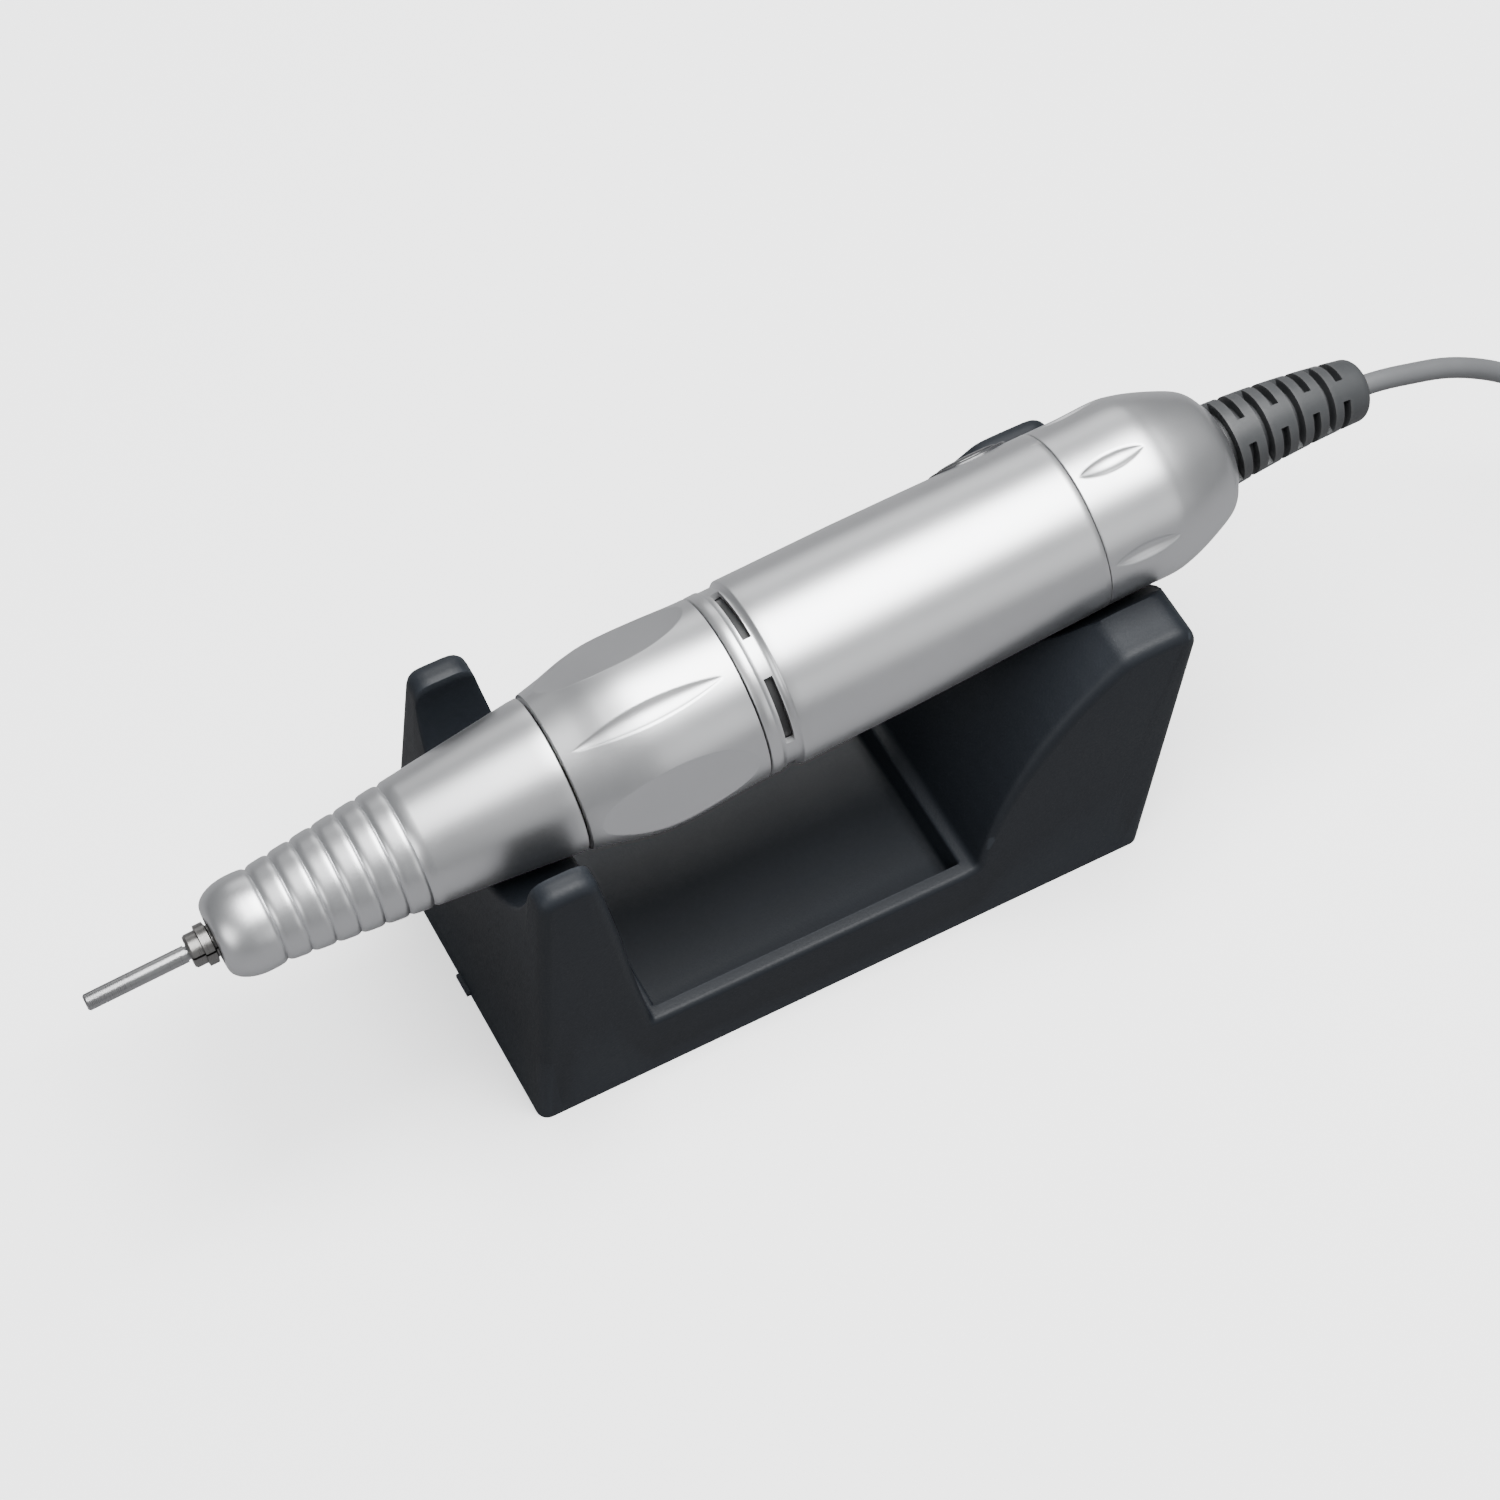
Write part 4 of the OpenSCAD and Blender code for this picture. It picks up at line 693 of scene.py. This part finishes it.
# ---------------------------------------------------------------------------------------------
# The rear cap
# A turned aluminium cap with the tube's satin finish, which goes on over the cable clamp. Six small
# leaf-shaped hollows milled round it give the fingers a hold.
# ---------------------------------------------------------------------------------------------
CAP_OUT = np.array([[12.93, 45.78], [12.88, 51], [12.97, 56.3], [12.5, 59.2], [11.5, 62.4], [9.9, 66.2],
                    [8.75, 67.9], [7.2, 69], [6.4, 69.5]])
cap_out = spline(CAP_OUT, 14)
cap_out[0] = [12.86, 45.78]
cap_out = np.insert(cap_out, 1, [12.92, 45.84], 0)
CAP_LEAF_MID, CAP_LEAF_HALF, CAP_LEAF_WIDE, CAP_LEAF_DEEP = 51.7, 4.9, np.radians(5.8), 0.58
CAP_LEAF_AT = np.radians(10)
cap_r, cap_s = cap_out[:, 0], cap_out[:, 1]
cap_t = np.clip(np.abs(cap_s - CAP_LEAF_MID) / CAP_LEAF_HALF, 0, 1)
cap_w = np.maximum(CAP_LEAF_WIDE * (1 - cap_t**2) ** 0.85, NARROWEST)
cap_cols = across_sector(cap_w, SECTOR, 12, 14)
cap_u = np.clip(np.abs(cap_cols) / cap_w[:, None], 0, 1)
cap_leaf = cap_r[:, None] - CAP_LEAF_DEEP * (1 - cap_t[:, None] ** 2) * (1 - cap_u**2) ** 0.8
theta = np.hstack([cap_cols + CAP_LEAF_AT + k * SECTOR for k in range(6)])
outside = on_axis(cap_s[:, None], np.tile(cap_leaf, 6), theta)
cap_bore = np.array([[6.2, 69.5], [6.2, 67.4], [7.6, 66.4], [10.4, 62.0], [11.4, 57.0], [11.4, 45.78]])
even = np.linspace(theta[0, 0], theta[0, 0] + 2 * np.pi, theta.shape[1], endpoint=False)
inside = on_axis(cap_bore[:, 1:2], cap_bore[:, :1], even[None, :])
rear_cap = skin("rear_cap_shell", np.concatenate([outside, inside]), wrap_rows=True)
rear_cap.data.set_sharp_from_angle(angle=np.radians(50))
rear_cap.data.materials.append(satin)
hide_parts("rear_cap")
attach(rear_cap, "handpiece")

# ---------------------------------------------------------------------------------------------
# The button and its bezel
# A glossy black oval key in a thin moulded frame of the same black, snapped into the tube's window
# on the far side. The key floats on its spring and moves straight inwards.
# ---------------------------------------------------------------------------------------------
frame_loop = np.array([[1.0, 12.2], [1.0, 13.2], [0.97, 13.38], [0.92, 13.42], [0.87, 13.38], [0.85, 13.2],
                       [0.85, 12.2]])
key_rows = np.array([[0.2, 8.05], [0.2, 11.25], [0.79, 11.3], [0.79, 13.35], [0.77, 13.52], [0.72, 13.62],
                     [0.58, 13.72], [0.4, 13.79], [0.2, 13.82]])


def oval(name, rows, closed):
    """Rows of ovals on the tube's skin: station = middle + a.sign(cos t)|cos t|^p and angle likewise with
    the sine, shrunk by each row's share and lying at each row's radius."""
    t = np.arange(72) * 2 * np.pi / 72
    share, radius = rows[:, :1], rows[:, 1:2]
    along = KEY_S + OVAL_LONG * share * np.sign(np.cos(t)) * np.abs(np.cos(t)) ** OVAL_POWER
    around = KEY_AT + OVAL_WIDE / SKIN_R * share * np.sign(np.sin(t)) * np.abs(np.sin(t)) ** OVAL_POWER
    return skin(name, on_axis(along, radius, around), wrap_rows=closed)


gloss_black = finish("polished_black", (0.012, 0.013, 0.014), drift=0.1, rough=0.25, spread=0.06,
                     grain=1800.0, depth=0.004, lighter_edges=(0.05, 0.05, 0.055), coat=0.2)
button_frame = oval("button_frame", frame_loop, True)
button_key = oval("button_key", key_rows, False)
for piece, node, body in ((button_frame, "button_bezel", "handpiece"),
                          (button_key, "power_button", "button")):
    piece.data.set_sharp_from_angle(angle=np.radians(50))
    piece.data.materials.append(gloss_black)
    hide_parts(node)
    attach(piece, body)

# ---------------------------------------------------------------------------------------------
# The strain boot
# A moulded rubber sleeve that keeps the cord from kinking at the cap. Eight cuts, each crossed by
# two bridges a quarter turn from its neighbour's, make it bendy; its head is held inside the cap.
# ---------------------------------------------------------------------------------------------
BOOT_AT, BOOT_FRONT_R, BOOT_REAR_R, BOOT_LENGTH, BOOT_BEND = 69.5, 6.1, 4.4, 23.0, np.radians(14)
CUTS, CUT_PITCH, CUT_WIDE, CUT_DEEP, CUT_FLANK = 8, BOOT_LENGTH / 9, 1.15, 1.5, 0.1
BRIDGE_AT, BRIDGE_HALF = np.radians(29), np.radians(19)
END_ROUND = 1.2
# rows: the head inside the cap, six for each cut and its ring, then the rounded end
head_t = np.array([-13.9, -5.0, -4.95, -3.25, -3.2, -0.1])
head_r = np.array([1.5, 1.5, 7.3, 7.3, 6.0, 6.0])
cut_t = (0.05 + np.arange(CUTS)[:, None] * CUT_PITCH
         + np.array([0, CUT_FLANK, CUT_WIDE - CUT_FLANK, CUT_WIDE, CUT_WIDE + 0.4, 2.3])).ravel()
end_a = np.linspace(0, np.pi / 2, 7)
end_t = np.concatenate([[20.6], BOOT_LENGTH - END_ROUND * (1 - np.sin(end_a))])
boot_t = np.concatenate([head_t, cut_t, end_t])
boot_r = BOOT_FRONT_R + (BOOT_REAR_R - BOOT_FRONT_R) * boot_t / BOOT_LENGTH
boot_r[:len(head_t)] = head_r
boot_r[-len(end_a):] -= END_ROUND * (1 - np.cos(end_a))
cut_depth = np.zeros(len(boot_t))
cut_depth[len(head_t):len(head_t) + len(cut_t)] = np.tile([0, CUT_DEEP, CUT_DEEP, 0, 0, 0], CUTS)
# columns: in each quarter one bridge with a column just inside and just outside each of its edges
soft = np.radians(0.8)
quarter = np.concatenate([np.linspace(-BRIDGE_HALF + soft, BRIDGE_HALF - soft, 9),
                          np.linspace(BRIDGE_HALF + soft, np.pi / 2 - BRIDGE_HALF - soft, 11)])
theta = np.concatenate([quarter + BRIDGE_AT + k * np.pi / 2 for k in range(4)])
bridged = np.tile(np.arange(len(quarter)) < 9, 4)
odd_quarter = np.repeat(np.arange(4) % 2 == 1, len(quarter))
number_of_cut = np.clip(np.arange(len(boot_t)) - len(head_t), 0, len(cut_t) - 1) // 6
crossed_here = bridged[None, :] & (odd_quarter[None, :] == (number_of_cut[:, None] % 2 == 0))
boot_grid_r = boot_r[:, None] - cut_depth[:, None] * ~crossed_here
# centre line: straight in the cap, then an arc: x += (sin a0 - sin a) / k, z += (cos a - cos a0) / k
curve = BOOT_BEND / BOOT_LENGTH
way = AXIS_RISE - curve * np.maximum(boot_t, 0)
centre_x = (BOOT_AT + np.minimum(boot_t, 0)) * np.cos(AXIS_RISE) + (np.sin(AXIS_RISE) - np.sin(way)) / curve
centre_z = (BOOT_AT + np.minimum(boot_t, 0)) * np.sin(AXIS_RISE) + (np.cos(way) - np.cos(AXIS_RISE)) / curve
boot_grid = np.stack([
    centre_x[:, None] - boot_grid_r * np.cos(theta) * np.sin(way)[:, None],
    -boot_grid_r * np.sin(theta),
    AXIS_HEIGHT + centre_z[:, None] + boot_grid_r * np.cos(theta) * np.cos(way)[:, None]], -1)
boot = skin("boot_moulding", boot_grid)
boot.data.set_sharp_from_angle(angle=np.radians(50))
boot.data.materials.append(finish("boot_rubber", (0.03, 0.032, 0.034), rough=0.5, grain=1800.0, depth=0.02,
                                  lighter_edges=(0.07, 0.07, 0.07)))
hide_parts("strain_boot")
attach(boot, "handpiece")

# ---------------------------------------------------------------------------------------------
# The cord
# A soft grey two-core cord 3 mm thick and 1.3 m long. It leaves the boot, falls to the table
# under its own weight and lies in a neat coil of eleven turns behind the cradle.
# ---------------------------------------------------------------------------------------------
CORD_R = 1.5
COIL_X = 178.0


def evenly(path, step):
    """The same line with its points a step apart, measured along it."""
    along = np.concatenate([[0], np.cumsum(np.linalg.norm(np.diff(path, axis=0), axis=1))])
    at = np.linspace(0, along[-1], int(round(along[-1] / step)) + 1)
    return np.column_stack([np.interp(at, along, path[:, k]) for k in range(3)])


def smoothed(path, passes):
    """Each point moves halfway to the middle of its two neighbours, the ends staying put."""
    for _ in range(passes):
        path[1:-1] = 0.5 * path[1:-1] + 0.25 * (path[:-2] + path[2:])
    return path


def headings(path):
    """Unit directions along the path, by central differences."""
    way = np.gradient(path, axis=0)
    return way / np.linalg.norm(way, axis=1, keepdims=True)


def hose(name, path, radius, sides=16):
    """A round tube on a path: each ring is centre + r(cos t . side + sin t . over), side = way x up."""
    way = headings(path)
    side = np.cross(way, np.array([0.0, 0.0, 1.0]))
    side /= np.linalg.norm(side, axis=1, keepdims=True)
    over = np.cross(side, way)
    t = np.arange(sides) * 2 * np.pi / sides
    r = np.broadcast_to(np.asarray(radius, float), (len(path),))[:, None, None]
    ring = np.cos(t)[None, :, None] * side[:, None] + np.sin(t)[None, :, None] * over[:, None]
    return skin(name, path[:, None, :] + r * ring)


BOOT_END = (92.15, 0.0, 51.1)
FALL = [
    (95.2, 0, 50.7), (98.5, 0, 49.8), (102, 0, 48.5), (108, 0, 46.2), (115, -0.5, 42.1),
    (122, -1, 36.2), (128.5, -2, 28.8), (133.5, -3.5, 21.6), (138, -6, 14.4), (142.5, -9, 8.3),
    (147, -12.5, 4.2), (151.5, -16, 2.3), (156, -18.8, 1.95), (161, -20.5, 1.95), (166, -21.2, 1.95),
    (172, -21.2, 1.95)]
# each turn of the coil: distance of the cord from the coil's centre, and its height, layer by layer
LAYER_Z = 1.95 + np.array([0.0, 2.57, 5.14])
WIDE_TURNS = [21.2, 18.1, 15.0, 11.9]
NESTED_TURNS = [13.45, 16.55, 19.65]
turn_r = np.array(WIDE_TURNS + NESTED_TURNS + WIDE_TURNS)
turn_z = np.repeat(LAYER_Z, [4, 3, 4])
TURN_POINTS = 60
STEP_OVER = 0.22                 # share of a turn in which the cord passes to its next place
part = np.arange(len(turn_r) * TURN_POINTS) / TURN_POINTS
whole = np.floor(part).astype(int)
late = np.clip((part - whole - (1 - STEP_OVER)) / STEP_OVER, 0, 1)
late = late * late * (3 - 2 * late)
after = np.minimum(whole + 1, len(turn_r) - 1)
coil_r = turn_r[whole] + (turn_r[after] - turn_r[whole]) * late
coil_z = turn_z[whole] + (turn_z[after] - turn_z[whole]) * late
angle = 2 * np.pi * part - np.pi / 2
kept = angle < 2 * np.pi * (len(turn_r) - 0.28) - np.pi / 2
coil = np.column_stack([COIL_X + coil_r * np.cos(angle), coil_r * np.sin(angle), coil_z])[kept]
# the last turn leaves the coil's inside, climbs over the turns and enters the tail of the plug
LEAD_UP = [
    (-11.4, -4.0, 7.6), (-9.6, -10.0, 8.7), (-6.2, -15.8, 10.2), (-1.2, -20.4, 10.9), (4.6, -21.6, 11.6),
    (9.2, -19.4, 12.3), (11.6, -15.0, 12.7), (12.0, -11.0, 12.7), (12.0, -8.6, 12.7)]
lead_up = np.array(LEAD_UP) + [COIL_X, 0, 0]
cord_line = np.vstack([[BOOT_END], FALL, coil[2::3], lead_up])
cord_line = smoothed(evenly(spline(cord_line, 6), 1.6), 3)
cord = hose("cord", cord_line, CORD_R)
cord.data.materials.append(finish("cord_jacket", (0.10, 0.103, 0.107), drift=0.08, rough=0.48, spread=0.06,
                                  grain=1400.0, depth=0.012))
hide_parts("cord_tube", "cord_coil")
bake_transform(cord)

# ---------------------------------------------------------------------------------------------
# The tie
# A flat strap of black rubber that keeps the coil's turns together: a loop with round corners
# round the whole bundle, |cos t|^p and |sin t|^p wide and high, swept straight across it.
# ---------------------------------------------------------------------------------------------
TIE_AT = np.radians(115.0)
TIE_WIDE, TIE_THICK = 3.4, 0.32
t = np.linspace(0, 2 * np.pi, 64, endpoint=False)
on_circle = np.stack([np.cos(t), np.sin(t)], 1)
corner = np.sign(on_circle) * np.abs(on_circle) ** 0.55
loop_mid, loop_half = np.array([16.5, 4.6]), np.array([6.45, 4.25])
inner = loop_mid + corner * loop_half
outer = loop_mid + corner * (loop_half + TIE_THICK)
# rows: inner front, inner back, outer back, outer front
loop = np.stack([inner, inner, outer, outer])
shift = np.array([-1, 1, 1, -1])[:, None] * TIE_WIDE / 2
radial = np.array([np.cos(TIE_AT), np.sin(TIE_AT)])
tangent = np.array([-np.sin(TIE_AT), np.cos(TIE_AT)])
tie_xy = [COIL_X, 0] + loop[..., :1] * radial + shift[..., None] * tangent
tie = skin("cord_tie", np.concatenate([tie_xy, np.maximum(loop[..., 1:], 0.03)], -1), wrap_rows=True)
tie.data.materials.append(finish("tie_strap", (0.02, 0.021, 0.022), rough=0.62, grain=2500.0, depth=0.05))
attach(tie, "cradle")

# ---------------------------------------------------------------------------------------------
# The plug
# A 3.5 mm two-pole plug: a turned brass pin pressed into a glossy black moulded barrel. It lies
# across the coil at the far end of the cord.
# ---------------------------------------------------------------------------------------------
dress("jack_body", gloss_black)
dress("jack_pin", brass)
